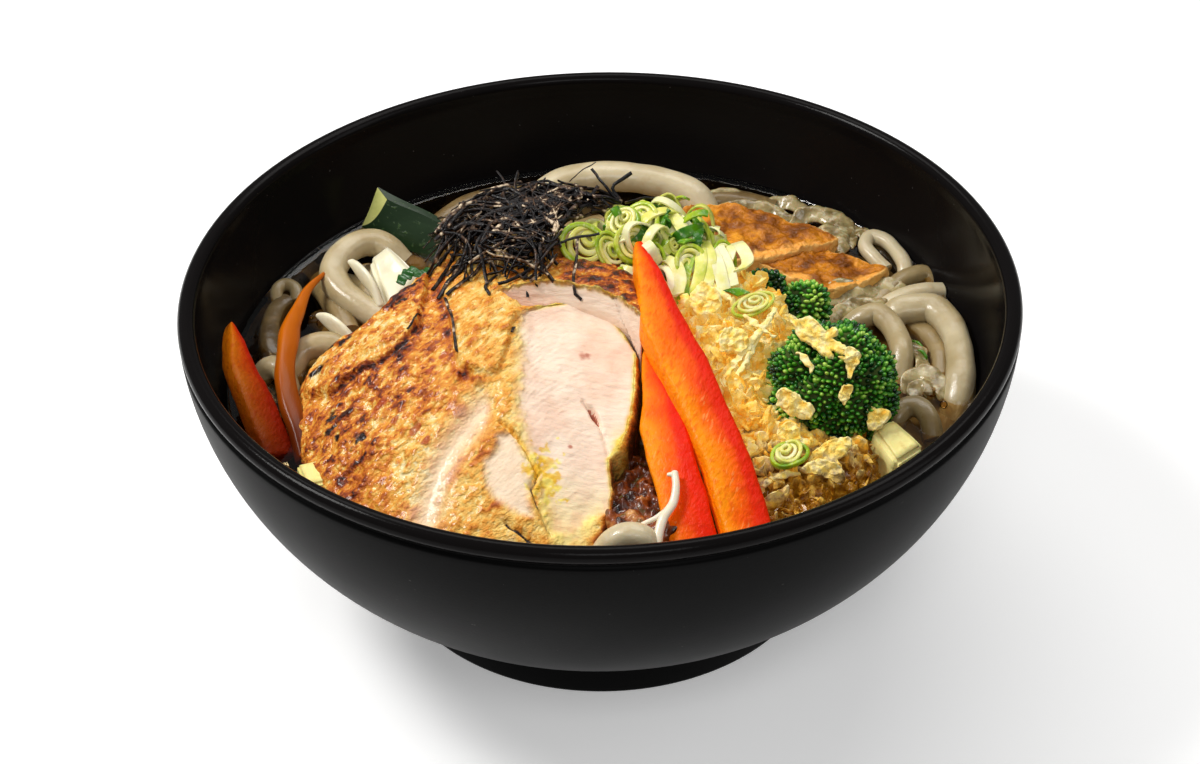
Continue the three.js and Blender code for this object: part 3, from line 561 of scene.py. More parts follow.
def soft(weight, depth, radius=(1.0, 0.2, 0.1)):
    """How much light soaks in, how deep in metres, and the share of that depth which each colour reaches."""
    return {"Subsurface Weight": weight, "Subsurface Scale": depth, "Subsurface Radius": radius}


def wet(weight, roughness, shine=0.5):
    """A thin film of broth or oil, and how strongly the surface under it shines."""
    return {"Coat Weight": weight, "Coat Roughness": roughness, "Specular IOR Level": shine}


def noodle_finish(g):
    place = g.node("ShaderNodeTexCoord", output="Object")
    height = g.node("ShaderNodeSeparateXYZ", {}, {0: place}, 2)
    cloud = g.noise(0.012, 3)
    streak = g.noise(0.0035, 3, seed=4.0)
    # Below the broth the noodles turn browner. This is partly the broth's stain and partly painted shade for
    # the light the broth takes away.
    steeped_and_shaded = 1 - g.step(height, (BROTH_LEVEL - 6) * MM, (BROTH_LEVEL + 2.5) * MM)
    stain = g.mark("stain") + (cloud - 0.5) * 0.9 + steeped_and_shaded * 0.35
    colour = g.ramp(
        stain,
        (0.0, (208, 193, 158)), (0.25, (178, 159, 118)), (0.55, (145, 123, 81)),
        (0.85, (117, 95, 58)), (1.0, (95, 75, 44)),
    )
    return {
        "Base Color": g.blend(g.step(streak, 0.55, 0.75) * 0.3, colour, (180, 148, 96)),
        "Roughness": 0.22 + 0.18 * streak,
        **soft(0.35, 0.002, (1.0, 0.7, 0.4)),
        **wet(0.15, 0.06, 0.45),
        "Normal": g.bump(g.noise(0.0016, 2, seed=2.0) * 0.4 + streak * 0.6, 0.00045, 0.7),
    }


def lidded(around, rings):
    """The faces of a top point, rings of points one after another and a bottom point."""
    faces, last = [], 1 + (rings - 1) * around
    for k in range(around):
        after = (k + 1) % around
        faces += [(0, 1 + k, 1 + after), (last + after, last + k, last + around)]
        for low in range(1, last, around):
            faces.append((low + k, low + around + k, low + around + after, low + after))
    return faces


def heap_core():
    """The heap under the strands: a low dome with a flat underside."""
    reach = [88, 88, 84, 79, 77, 76, 74, 73, 77, 77, 80, 82, 84, 84, 84, 86]  # every sixteenth of a turn
    corners = [(r * cos(i * pi / 8), r * sin(i * pi / 8), 0) for i, r in enumerate(reach)]
    rim = smooth_line(corners, 96, closed=True)[:, :2]
    dome = np.linspace(0.08, 1, 22)
    underside = [(0.99, 50), (0.75, 38), (0.6, 27), (0.4, 20)]
    points = [(0, 0, float(heap_top(0, 0)) - 4)]
    for share in dome:
        for x, y in rim * share:
            bumps = 1.4 * noise.noise((x / 7, y / 7, 0))
            points.append((x, y, max(heap_top(x, y) - 4.2, 53) + bumps))
    for share, height in underside:
        points += [(x, y, height) for x, y in rim * share]
    points.append((0, 0, 20))
    return points, lidded(len(rim), len(dome) + len(underside))


noodle_material = finish("wet_noodle", noodle_finish)
draw = random.Random(21)
fillers = [filling_noodle(draw) for _ in range(FILLING_NOODLES)]
strands = SHOWN_NOODLES + [(line, draw.uniform(0.8, 1.0), 0.6) for line in fillers if len(line) > 3]
paths, girths, stains = zip(*strands)
noodle_lines = [smooth_line(path, 5 * len(path)) for path in paths]
noodles = grown(
    "noodle_strands",
    line_mesh("noodle_lines", noodle_lines, {"girth": girths, "stain": stains}),
    {
        "Width": NOODLE_WIDTH * MM, "Thickness": NOODLE_THICKNESS * MM, "Rounding": NOODLE_ROUNDING * MM,
        "Material": noodle_material,
    },
    strand_steps,
)
points, faces = heap_core()
noodle_core = solid("noodle_core", points, faces, noodle_material, {"stain": [0.35] * len(points)})
for piece in (noodles, noodle_core):
    settle(piece, "noodles", "noodles")

# ---------------------------------------------------------------- grilled chicken breast
# Two pieces of grilled breast. The front one shows its browned, puckered skin on the left and, past a thin
# golden edge, the pale cut face on the right. A groove, a crack and two slits run where it was torn. The back
# one leans behind it, brown on top over a narrow pink face.

RIDGE_X = -18.0  # where the skin ends and the cut face begins
CROWN = 82.0  # the front piece's greatest height
FRONT_MIDDLE = (-27, -28)
RIDGE_TURN = radians(40)  # the way the browned ridges run
CUT_FACE = [
    (-18.5, -12.2), (-12.9, -7.7), (-7, -5), (-2.3, -4.5), (0.8, -5.7), (2.8, -9.2), (5.8, -14.3),
    (8, -18.5), (7.9, -25.7), (6.7, -37.5), (4, -45.9), (2.5, -48.5), (0.9, -50), (1.7, -56.8),
    (1.1, -61.3), (-3.2, -66.2), (-6, -69.9), (-10.9, -71.1), (-13, -68.7), (-14.1, -61.4), (-14.9, -56.5),
    (-18, -49.4), (-20, -40.4), (-19.6, -35.1), (-19.6, -23.4), (-19.2, -17),
]
PALE_PATCH = [
    (-26.8, -52.7), (-23.9, -50.2), (-23.7, -46.9), (-20.5, -46.5), (-16.9, -52.4), (-15.6, -55.3),
    (-17, -61.8), (-15.9, -65.5), (-18.8, -65.4), (-24.8, -61.2), (-26.2, -58.1),
]
UPPER_FLAP = [
    (-38.1, 1.9), (-35.3, -13.9), (-33.1, -28.1), (-28.4, -31.2), (-23.3, -30.3), (-21.5, -23.4),
    (-20.1, -15.3), (-18, -9), (-23.6, 4), (-30.9, 14.1), (-36, 12),
]
LEFT_FLAP = [
    (-41.8, -3.6), (-43.1, -9.8), (-46, -14.3), (-50.7, -17.5), (-55.6, -17.7), (-60.5, -18.6),
    (-64.1, -20.1), (-71, -15), (-70, -4), (-60, 0), (-48, 8), (-41, 10),
]
CRACK = [
    (-23.2, -43.2), (-19.1, -47.7), (-16, -53.3), (-14.9, -55.8), (-16.3, -58.6), (-15, -62.7),
    (-13.7, -65.3), (-12.1, -68.7),
]
GROOVE = [(-26.2, -38.6), (-28.7, -41.7), (-34.2, -48.6), (-36.2, -52.4), (-37.7, -57.1), (-39.1, -62.2)]
GROOVE_EDGE = [(-25.5, -42), (-30.1, -46.9), (-32.8, -50.9), (-35, -55.4), (-36.6, -59.6), (-37.7, -63.4)]
LOW_SLIT = [(-21.9, -66.5), (-20.6, -67.9), (-18.4, -69.1), (-16.6, -70.6)]
CURL = [(-33.5, -31.3), (-33.1, -28.5), (-31.2, -27.7), (-29.1, -29.4), (-28.4, -32.4)]
VALLEY = LEFT_FLAP[:7]
SLIT = [(-4.3, -35.4), (-2.5, -37.3), (-0.5, -41.3), (0.8, -45.5), (1.2, -48.7)]
BLACK_SPOTS = [
    (-67.7, -10.6), (-65.1, -4), (-61.2, -5.6), (-63.5, -26.7), (-63.6, -30.8), (-61.9, -34.1),
    (-56, -37.7), (-44.4, 5.5), (-47.9, 0),
]
RED_SPOTS = [(-42.9, -41), (-40.4, -45), (-47.7, -36.4), (-51.7, -31.2), (-36.6, -22), (-39.7, -25.9)]
BROWN_SPOTS = [
    (-58.6, -20.9), (-53.8, -20.9), (-47.6, -18.7), (-44.8, -15.1), (-42.5, -11.6), (-36.6, -9),
    (-39.9, -18.8), (-46.9, -23.7), (-51.6, -27.3), (-58.8, -27.4), (-56.2, -32.1), (-63, -18.3),
    (-61, -9.7), (-53.6, -7.9), (-59.4, -16.1), (-37.6, -16.5), (-40.7, -33.8), (-33.6, -38.5),
    (-46.7, -31.2), (-31.8, -51.5), (-27.7, -51.8), (-33.4, -53.6), (-24.4, -62.8), (-55.8, -43.1),
    (-59.3, -46.3), (-57.9, -51.8), (-31.5, -30), (-49, 2), (-43, 8),
]
# Broad darker and lighter areas of the skin. They are partly its browning, and at the lower-left corner,
# which lies in shade, they are painted shade. Each gives the middle, the reach and how much darker.
BROWNING_AND_SHADE_AREAS = [
    (-58, -11, 4.5, -0.16), (-51, -6.5, 4, -0.16), (-56, -18, 3.2, 0.06), (-49, -14.5, 3.2, 0.08),
    (-43, -11, 3, 0.12), (-62, -31, 5, 0.14), (-57, -48, 5.5, 0.24), (-45, -45, 7, -0.16),
    (-40, -54, 6, -0.16), (-51, -60, 4, 0.14), (-29, -17, 7, -0.03), (-30, -57, 6, -0.04),
    (-49, 2, 4, 0.22), (-47, -25, 5, -0.02), (-32, -31, 3, 0.14), (-27, -48, 3.5, 0.12),
]


def nearest_on(x, y, line, closed=False):
    """The distance from each point to a line of points."""
    nearest = np.full(np.shape(x), 1e9)
    ends = line[1:] + line[:1] if closed else line[1:]
    for (ax, ay), (bx, by) in zip(line, ends):
        along = ((x - ax) * (bx - ax) + (y - ay) * (by - ay)) / ((bx - ax) ** 2 + (by - ay) ** 2)
        share = np.clip(along, 0, 1)
        nearest = np.minimum(nearest, np.hypot(x - ax - share * (bx - ax), y - ay - share * (by - ay)))
    return nearest


def depth_inside(x, y, loop):
    """How far each point is inside a closed outline, and below 0 outside it."""
    inside = np.zeros(np.shape(x), bool)
    for (ax, ay), (bx, by) in zip(loop, loop[1:] + loop[:1]):
        if ay != by:
            inside ^= ((ay > y) != (by > y)) & (x < (bx - ax) * (y - ay) / (by - ay) + ax)
    return np.where(inside, 1, -1) * nearest_on(x, y, loop, closed=True)


def tear(x, y, line, width, depth=1.0):
    """A soft channel along a line, as its depth at each point."""
    return depth * np.exp(-((nearest_on(x, y, line) / width) ** 2))


def rough(x, y, size, octaves=3, seed=0.0, turn=0.0, stretch=1.0):
    """Fractal noise from about -1 to 1 at each point, drawn out along a direction by stretch."""
    along = (x * cos(turn) + y * sin(turn)) / (size * stretch)
    across = (y * cos(turn) - x * sin(turn)) / size
    return np.array([noise.fractal((a, b, seed), 1.0, 2.0, octaves) for a, b in zip(along, across)])


def smooth_step(value, low, high):
    """0 at low, 1 at high and smooth between, for arrays."""
    share = np.clip((value - low) / (high - low), 0, 1)
    return share * share * (3 - 2 * share)


def spots(x, y, places, long, short, turn=RIDGE_TURN):
    """1 at the middle of each oval spot, and falling to 0 outside. Every third spot is larger."""
    total = np.zeros(np.shape(x))
    for number, (px, py) in enumerate(places):
        grown_by = 1.4 if number % 3 == 0 else 1.0
        along = ((x - px) * cos(turn) + (y - py) * sin(turn)) / (long * grown_by)
        across = ((y - py) * cos(turn) - (x - px) * sin(turn)) / (short * grown_by)
        total = np.maximum(total, np.exp(-(along**2) - across**2))
    return total


def front_top(x, y):
    """Highest along the ridge, round over the skin and sloping straight down the cut face."""
    dome = CROWN - 0.0041 * y * y
    skin_fall = 0.0075 * np.minimum(0, x - RIDGE_X) ** 2
    return dome - skin_fall - 0.22 * np.maximum(0, x - RIDGE_X)


# The back piece's brow, where its brown top turns over into the cut face.
BROW_X = (-24, -18.8, -12.9, -5.8, 0.1, 4.8, 9.4, 13)
BROW_Y = (-4.2, -2.3, -1.5, -3.4, -5.7, -8.5, -14.1, -19)


def back_top(x, y):
    brow = np.interp(x, BROW_X, BROW_Y)
    ahead = np.maximum(0, brow - y)
    behind = np.maximum(0, y - brow)
    return 84 - 1.5 * ahead - 0.009 * behind * behind - 0.004 * (x + 8) ** 2


def cushion(outline, centre, around, rings, top, bottom, edge, rounding=0.1):
    """Points, faces and side mark of a piece that lies flat: a domed top, rounded over an edge of that
    height, a side that runs down and in, and a closed underside. The mark is 0 on top and 1 on the side."""
    rim = smooth_line([(x, y, 0) for x, y in outline], around, closed=True)[:, :2]
    hub = np.array(centre)
    start = 1 - rounding
    sheets, side = [], []
    for share in np.linspace(0, 1, rings + 1)[1:] ** 0.85:
        ring = hub + (rim - hub) * share
        over = np.clip((share - start) / rounding, 0, 1)
        height = top(ring[:, 0], ring[:, 1]) - edge * (1 - sqrt(max(0, 1 - over * over)))
        sheets.append(np.column_stack([ring, height]))
        side.append(over)
    last = sheets[-1]
    low = np.minimum(bottom(last[:, 0], last[:, 1]), last[:, 2] - 1)
    for share in (0.08, 0.16, 0.26, 0.38, 0.52, 0.68, 0.86, 1):
        bulge = 1 + 0.012 * sin(pi * share) - 0.02 * share
        ring = hub + (rim - hub) * bulge
        sheets.append(np.column_stack([ring, last[:, 2] + (low - last[:, 2]) * share]))
        side.append(1.0)
    under = hub + (rim - hub) * 0.5
    sheets.append(np.column_stack([under, low]))
    side.append(1.0)
    points = np.concatenate([[[*centre, float(top(*centre))]], *sheets, [[*centre, float(low.mean())]]])
    marks = np.concatenate([[0], *[np.full(around, s) for s in side], [1]])
    return points, lidded(around, len(sheets)), marks


def chicken_finish(g):
    cut, brown, char, wild = g.mark("cut"), g.mark("brown"), g.mark("char"), g.mark("wild")
    mottle = g.noise(0.0032, 4, seed=1.0)
    wrinkle = g.noise(0.0012, 3, stretch=(0.5, 1, 1), turn=RIDGE_TURN, seed=4.0)
    blotch = g.step(g.noise(0.0028, 3, seed=7.0), 0.54, 0.60) * g.step(g.noise(0.007, 2, seed=2.0), 0.4, 0.55)
    # Pale cream flecks: partly paler skin and partly painted highlights on the oily wrinkles.
    pale_fleck_and_glint = g.step(g.noise(0.0013, 2, seed=11.0), 0.57, 0.66)
    browning = brown + (mottle - 0.5) * (0.5 + 0.7 * wild) + (wrinkle - 0.5) * (0.5 + 0.4 * wild)
    browning = browning + blotch * (0.05 + 0.17 * wild) - pale_fleck_and_glint * (0.14 + 0.14 * wild)
    skin = g.ramp(
        browning,
        (0.0, (255, 230, 168)), (0.18, (248, 202, 104)), (0.36, (236, 160, 52)),
        (0.54, (212, 116, 24)), (0.74, (152, 62, 14)), (0.94, (62, 22, 12)),
    )
    fibre = g.noise(0.0015, 4, stretch=(0.3, 1, 1), turn=-0.12, seed=5.0)
    flush = g.noise(0.012, 2, seed=9.0)
    meat = g.blend(g.step(flush, 0.35, 0.7), (255, 230, 206), (246, 208, 182))
    meat = g.blend(g.step(fibre, 0.48, 0.70) * 0.22, meat, (240, 196, 160))
    whole = g.blend(cut, skin, meat)
    whole = g.blend(g.mark("pale"), whole, g.blend(mottle, (255, 234, 204), (250, 212, 176)))
    crust = g.blend(g.step(mottle, 0.4, 0.6), (255, 232, 116), (240, 186, 44))
    whole = g.blend(g.mark("gold"), whole, crust)
    # The char mark holds charred spots, and also painted shade in the slits and the lower crack.
    char_and_shade_mask = g.step(char + (mottle - 0.5) * 1.3, 0.38, 0.80)
    red = g.step(g.mark("red") + (mottle - 0.5) * 0.8, 0.4, 0.7)
    whole = g.blend(red * 0.8, whole, (176, 64, 14))
    pores = g.noise(0.0007, 2, seed=3.0)
    relief = (1 - cut) * (1 - 0.7 * g.mark("pale")) * (mottle * 0.6 + wrinkle * 0.7 + pores * 0.3)
    relief = relief + cut * fibre * 0.35
    return {
        "Base Color": g.blend(char_and_shade_mask, whole, (30, 12, 10)),
        "Roughness": 0.40 + 0.2 * mottle + cut * 0.1 - char_and_shade_mask * 0.15,
        **soft(0.08, 0.0015, (1.0, 0.55, 0.3)),
        **wet(0.28 - cut * 0.22, 0.12, 0.3),
        "Normal": g.bump(relief, 0.0014, 1.0),
    }


def front_chicken():
    """The front piece's points, faces and marks: its form, then its relief, then its colours."""
    outline = [
        (-74, -16), (-72, -28), (-67, -41), (-60, -54), (-49, -65), (-35, -73), (-20, -78), (-8, -77.5),
        (-3.5, -71.5), (0.5, -66), (2.4, -59), (2, -53), (2.2, -50), (5.4, -46), (7.6, -38), (8.8, -28),
        (8.8, -19.5), (5.4, -12), (2, -6.2), (-2.5, -4), (-8, -4.6), (-14, -7.6), (-19, -7.5), (-23, -3.5),
        (-24.8, 4), (-25, 12), (-26, 24), (-33, 28), (-40, 16), (-49, 5), (-58, -1.5), (-66, -2.5),
        (-71.5, -6),
    ]
    points, faces, side = cushion(
        outline, FRONT_MIDDLE, 520, 150,
        front_top, lambda x, y: np.maximum(front_top(x, y) - 26, 46), 2.0, 0.035,
    )
    x, y = points[:, 0].copy(), points[:, 1].copy()
    # Where the skin meets the cut face. The edge is crisp at the back and torn at the front.
    crisp = smooth_step(x + 0.35 * y, -27, -19)
    lobes = (0.4 + 1.1 * (1 - crisp)) * rough(x, y, 3.2, 3, 2.0)
    inside_cut = depth_inside(x, y, CUT_FACE) + lobes
    cut = smooth_step(inside_cut, -0.15 - 1.6 * (1 - crisp), 0.3 + 2.0 * (1 - crisp))
    # The skin is wildest at the left, with torn flaps, a groove and a crack.
    wild = smooth_step(-x, 30, 46) * (1 - 0.6 * smooth_step(-y, 38, 60))
    knobs = rough(x, y, 3.8, 4, 5.0, RIDGE_TURN, 1.7)
    pucker = rough(x, y, 1.6, 3, 9.0, RIDGE_TURN, 1.2)
    streaks = rough(x, y, 1.1, 2, 14.0, radians(50), 4.5)
    flap = smooth_step(depth_inside(x, y, UPPER_FLAP) + 0.5 * knobs, -0.2, 1.0)
    shoulder = smooth_step(depth_inside(x, y, LEFT_FLAP) + 0.6 * knobs, -0.3, 0.9)
    patch = smooth_step(depth_inside(x, y, PALE_PATCH) + 0.4 * pucker, -1.2, 1.4)
    trench = tear(x + 0.8 + 0.4 * pucker, y, GROOVE, 3.4)
    crack = tear(x + 0.5 * pucker, y, CRACK, 0.42)
    skin = 0.30 + (0.6 + 0.5 * wild) * knobs + (0.2 + 0.22 * wild) * pucker + 0.28 * streaks * flap
    skin = skin * (1 - 0.85 * patch) + 1.3 * flap + 2.1 * shoulder + tear(x, y, CURL, 0.9, 1.3)
    skin += 0.45 * crisp * np.exp(-(((inside_cut + 0.5) / 0.6) ** 2))
    meat = 0.10 * rough(x, y + 0.04 * x * x, 0.9, 3, 3.0, 0.1, 3.0) + 0.35 * rough(x, y, 6, 2, 1.0)
    meat += 0.5 * smooth_step(inside_cut, 4, 0) - 0.35 * crisp
    torn = 1.5 * trench + 1.5 * crack + tear(x, y, GROOVE_EDGE, 1.1, 0.5) + tear(x, y, LOW_SLIT, 0.5, 1.6)
    wedge = 0.3 + 0.9 * np.exp(-(((x + 2) / 2.0) ** 2) - (((y + 38.5) / 2.4) ** 2))
    slit = np.exp(-((nearest_on(x, y, SLIT) / (0.25 + 0.45 * wedge)) ** 2)) * wedge
    fade = 1 - 0.7 * side
    points[:, 2] += ((1 - cut) * skin * (1 - 0.85 * trench) + cut * meat - torn - 2.6 * slit) * fade
    spread = rough(x * 1.4 + points[:, 2], y * 1.4, 3.0, 3, 6.0) * side
    away = points[:, :2] - np.array(FRONT_MIDDLE)
    away /= np.maximum(np.linalg.norm(away, axis=1, keepdims=True), 1e-6)
    points[:, :2] += away * spread[:, None] * 0.5
    # Browning, then the charred spots with painted shade in the slits and the lower crack, the pale patch and
    # the golden edge.
    brown = 0.29 + 0.12 * knobs + 0.12 * pucker + 0.17 * wild + 0.02 * flap + 0.2 * streaks * flap
    brown += 0.34 * spots(x + 1.3 * pucker, y + 1.3 * knobs, BROWN_SPOTS, 2.2, 1.2)
    # Darker along the valley under the left flap. This is partly browning and partly painted shade in the
    # crease.
    brown += tear(x + 0.8 * pucker, y, VALLEY, 0.65, 0.34) - 0.14 * shoulder * smooth_step(-y, 2, 8)
    brown += 0.3 * np.exp(-(((depth_inside(x, y, UPPER_FLAP) + 0.7) / 0.9) ** 2)) * smooth_step(-x, 22, 30)
    brown += (0.12 + 0.5 * smooth_step(x, -20, -6)) * side
    # Broad areas of browning, with painted shade at the lower-left corner.
    for px, py, reach, darker in BROWNING_AND_SHADE_AREAS:
        brown += darker * np.exp(-(((x - px) ** 2 + (y - py) ** 2) / reach**2))
    # Charred spots, then painted shade: the low slit and the lower part of the crack are painted dark.
    char = spots(x + 1.5 * pucker, y + 1.5 * knobs, BLACK_SPOTS, 1.9, 1.1) + tear(x, y, LOW_SLIT, 0.45)
    char += 0.6 * crack * (y < -56) + 0.18 * rough(x, y, 1.2, 2, 12.0)
    pale = np.maximum(patch, 0.85 * trench * smooth_step(-x, 24, 27)) * (1 - cut)
    rim = np.exp(-((inside_cut / 0.55) ** 2)) * smooth_step(x + 0.35 * y, -22, -16)
    gold = np.clip(rim * (1 - 0.8 * side), 0, 1)
    crumbly = smooth_step(3.4 + 4.5 * pucker + 2.0 * knobs - np.hypot(x + 13, (y + 56) / 1.7), 0, 1.2) * 0.8
    tip = np.exp(-(((x - 3.6) / 1.6) ** 2) - ((y + 46) / 3.6) ** 2) * (0.7 + 0.6 * streaks)
    low = 0.4 * smooth_step(-y, 50, 68) * cut * (1 - side)
    low += 0.55 * (1 - crisp) * np.exp(-(((inside_cut - 0.4) / 1.7) ** 2)) * (0.8 + 0.5 * knobs)
    marks = {
        "cut": cut, "brown": brown, "char": char, "pale": pale, "wild": wild,
        "gold": np.clip(np.maximum(gold, crumbly) + low + 0.5 * crack * (y > -56) + tip, 0, 1),
        # Red spots of browning, and painted shade deep in the slit.
        "red": spots(x, y, RED_SPOTS, 1.7, 1.0) + 0.62 * spots(x, y, [(-3.7, -22)], 2.0, 1.4)
        + 0.7 * spots(x, y, [(-7.4, -48.1)], 0.7, 0.6) + 1.1 * (slit > 0.55),
    }
    return points, faces, marks


def back_chicken():
    """The back piece's points, faces and marks."""
    outline = [
        (-24.5, -5.4), (-18.8, -5.6), (-12.9, -5), (-6, -6.4), (0.1, -8.6), (5, -12), (8.4, -16.6),
        (9.2, -20), (9.8, -15), (8.8, -4), (8.6, 8), (8, 20), (2, 28), (-10, 31), (-20, 27), (-24, 14),
    ]
    points, faces, side = cushion(
        outline, (-5, 9), 300, 80, back_top, lambda x, y: back_top(x, y) - 14, 0.8, 0.03
    )
    x, y = points[:, 0].copy(), points[:, 1].copy()
    below = np.interp(x, BROW_X, BROW_Y) - y + 0.4 * rough(x, y, 2.0, 3, 4.0)
    cut = smooth_step(below, -0.1, 0.4) * smooth_step(x, -25, -22)
    ridges = rough(x, y, 3.2, 4, 15.0)
    fibres = 0.12 * rough(x, y, 0.9, 2, 8.0, 0.0, 4.0)
    points[:, 2] += (1 - side) * ((1 - cut) * (0.3 + 0.6 * ridges) + cut * fibres)
    marks = {
        "cut": cut,
        "brown": 0.38 + 0.3 * ridges + 0.32 * smooth_step(x, -13, -5),
        "char": 0.25 * ridges + 0.5 * np.exp(-(((below + 0.4) / 0.5) ** 2)) * smooth_step(x, 1, 6),
        "pale": np.zeros(len(x)),
        "wild": np.full(len(x), 0.6),
        "gold": np.exp(-((below / 0.4) ** 2)) * 0.7,
        "red": np.zeros(len(x)),
    }
    return points, faces, marks


chicken_material = finish("grilled_chicken", chicken_finish)
chicken = {}
for name, build in (("front", front_chicken), ("back", back_chicken)):
    points, faces, marks = build()
    piece = solid("chicken_" + name + "_piece", points, faces, chicken_material, marks)
    settle(piece, "chicken", "chicken_" + name)
    chicken[name] = piece

# ---------------------------------------------------------------- sweet pepper, carrot and courgette
# Raw and blanched strips cut by hand. Pepper has a waxy skin that is deepest red along its side, carrot has
# gone soft and amber, and the courgette keeps its dark rind with a pale cut end.


def tube(sides, levels):
    """The faces of rings of points one after another, closed at both ends."""
    faces = [tuple(range(sides))[::-1], tuple(range((levels - 1) * sides, levels * sides))]
    for level in range(levels - 1):
        for k in range(sides):
            a, b = level * sides + k, level * sides + (k + 1) % sides
            faces.append((a, b, b + sides, a + sides))
    return faces


def swept(path, steps, sides, size, up, square=1.0):
    """Points, faces and marks of a long piece along a smooth path. size(t) gives half its width and half its
    thickness at share t, and square is 1 for a round section and less for a boxier one."""
    line = smooth_line(path, steps)
    along = np.gradient(line, axis=0)
    along /= np.linalg.norm(along, axis=1, keepdims=True)
    across = np.cross(along, np.asarray(up, float))
    across /= np.linalg.norm(across, axis=1, keepdims=True)
    outward = np.cross(across, along)
    angles = (np.arange(sides) + 0.5) / sides * 2 * pi
    c = np.sign(np.cos(angles)) * np.abs(np.cos(angles)) ** square
    s = np.sign(np.sin(angles)) * np.abs(np.sin(angles)) ** square
    points, shares, turns = [], [], []
    last = steps - 1
    body = [(i, 1.0, 0) for i in range(steps)]
    levels = [(0, 0.55, -0.3), (0, 0.85, -0.18), *body, (last, 0.85, 0.18), (last, 0.55, 0.3)]
    for i, shrink, push in levels:
        share = i / last
        half_width, half_thickness = size(share)
        middle = line[i] + along[i] * push
        for cosine, sine in zip(c, s):
            offset = across[i] * cosine * half_width + outward[i] * sine * half_thickness
            points.append(middle + offset * shrink)
        shares += [share] * sides
        turns += list(c)
    return np.array(points), tube(sides, len(levels)), {"along": shares, "across": turns}


noise.seed_set(5)  # noise_vector would otherwise start from the clock


def roughened(points, size, depth, seed=0.0):
    """The same points, moved by noise of that size and depth in millimetres."""
    moves = [noise.noise_vector((p[0] / size + seed, p[1] / size, p[2] / size)) for p in points]
    return points + depth * np.array(moves)


def pepper_size(width, thickness, tip, opening):
    """Half the width and thickness along a strip that starts at a narrow tip and opens over a share of it."""

    def size(t):
        spread = tip + (1 - tip) * min(1, t / opening) ** 0.8
        return width / 2 * spread, thickness / 2 * (0.5 + 0.5 * min(1, t / 0.15))

    return size


def pepper_finish(g):
    side, along = 0 - g.mark("across"), g.mark("along")
    cloud = g.noise(0.012, 3, stretch=(1, 1, 0.4))
    streak = g.noise(0.0022, 3, seed=2.0)
    scratch = g.noise(0.0007, 3, stretch=(1, 0.16, 0.5), turn=-0.3, seed=6.0)
    grain = g.noise(0.0010, 4, stretch=(1, 0.4, 1), turn=-0.3, seed=8.0)
    flesh = g.ramp(
        cloud + side * 0.45, (0.1, (255, 146, 10)), (0.43, (251, 100, 0)), (0.72, (232, 50, 0))
    )
    skin = g.blend(cloud, (214, 14, 2), (238, 36, 2))
    body = g.blend(g.step(side + (streak - 0.5) * 0.25, 0.15, 0.6), flesh, skin)
    # Pale streaks along the lower part of the broad face, away from the red side.
    pale_streaks = g.step(scratch, 0.60, 0.68) * (1 - g.step(side, -0.1, 0.4)) * g.step(along, 0.25, 0.55)
    body = g.blend(g.step(grain, 0.5, 0.7) * 0.4, body, (222, 48, 0))
    body = g.blend(pale_streaks * g.mark("worn") * 0.45, body, (255, 186, 110))
    return {
        # The dark mark is painted shade. The left strip lies low by the wall and is darkened, more towards
        # its lower end.
        "Base Color": g.blend(g.mark("dark"), body, (104, 22, 4)),
        "Roughness": 0.24 + 0.24 * grain,
        "Specular IOR Level": 0.10,
        # A faint orange glow, though the pepper is no lamp: painted light. It is switched off where painted
        # shade darkens the strip.
        "Emission Color": g.blend(g.mark("dark"), (255, 96, 0), (0, 0, 0)),
        "Emission Strength": 0.05,
        **soft(0.06, 0.002, (1.0, 0.25, 0.1)),
        "Normal": g.bump(cloud * 0.4 + streak * 0.3 + grain * 0.5, 0.0010, 0.8),
    }


pepper_material = finish("red_pepper", pepper_finish)
# Each has its line, width, thickness, the way its broad face looks, its tip, how streaked it is, and how much
# painted shade darkens it.
PEPPERS = {
    "long": (
        [(9.6, 10.4, 85), (11.5, -1, 82.6), (14.2, -14.5, 79), (18.8, -27, 76), (23.4, -40, 72),
         (28, -53.5, 67), (31.7, -69.5, 60), (33.5, -76, 57)],
        11.4, 6.4, (0.22, -0.25, 1), (0.16, 0.30), 0.7, 0.0,
    ),
    "short": (
        [(11.2, -16, 74), (12.7, -28, 71.6), (14.2, -39, 69.5), (15.8, -51, 66.5), (18, -61, 63),
         (20.8, -73, 57.5)],
        10.8, 6, (-0.2, -0.35, 1), (0.12, 0.42), 0.8, 0.0,
    ),
    "left": (
        [(-89.9, 4.4, 68.2), (-87.5, -4.9, 66.5), (-84.9, -12.5, 64.5), (-82.1, -19, 61.9),
         (-79.3, -24.9, 58.9), (-76.4, -30.5, 54.9)],
        10, 4.6, (0.75, -0.3, 0.6), (0.06, 0.5), 0.1, 0.75,
    ),
}
for name, (path, width, thickness, up, tip, worn, dark) in PEPPERS.items():
    points, faces, marks = swept(path, 72, 32, pepper_size(width, thickness, *tip), up, 0.36)
    points = roughened(roughened(points, 9, 0.6, seed=len(path)), 2.4, 0.12, seed=1.0)
    marks["worn"] = [worn] * len(points)
    # Painted shade, deeper towards the lower end.
    marks["dark"] = [dark * (0.5 + 0.8 * t) for t in marks["along"]]
    piece = solid("pepper_" + name + "_strip", points, faces, pepper_material, marks)
    settle(piece, "pepper", "pepper_" + name)


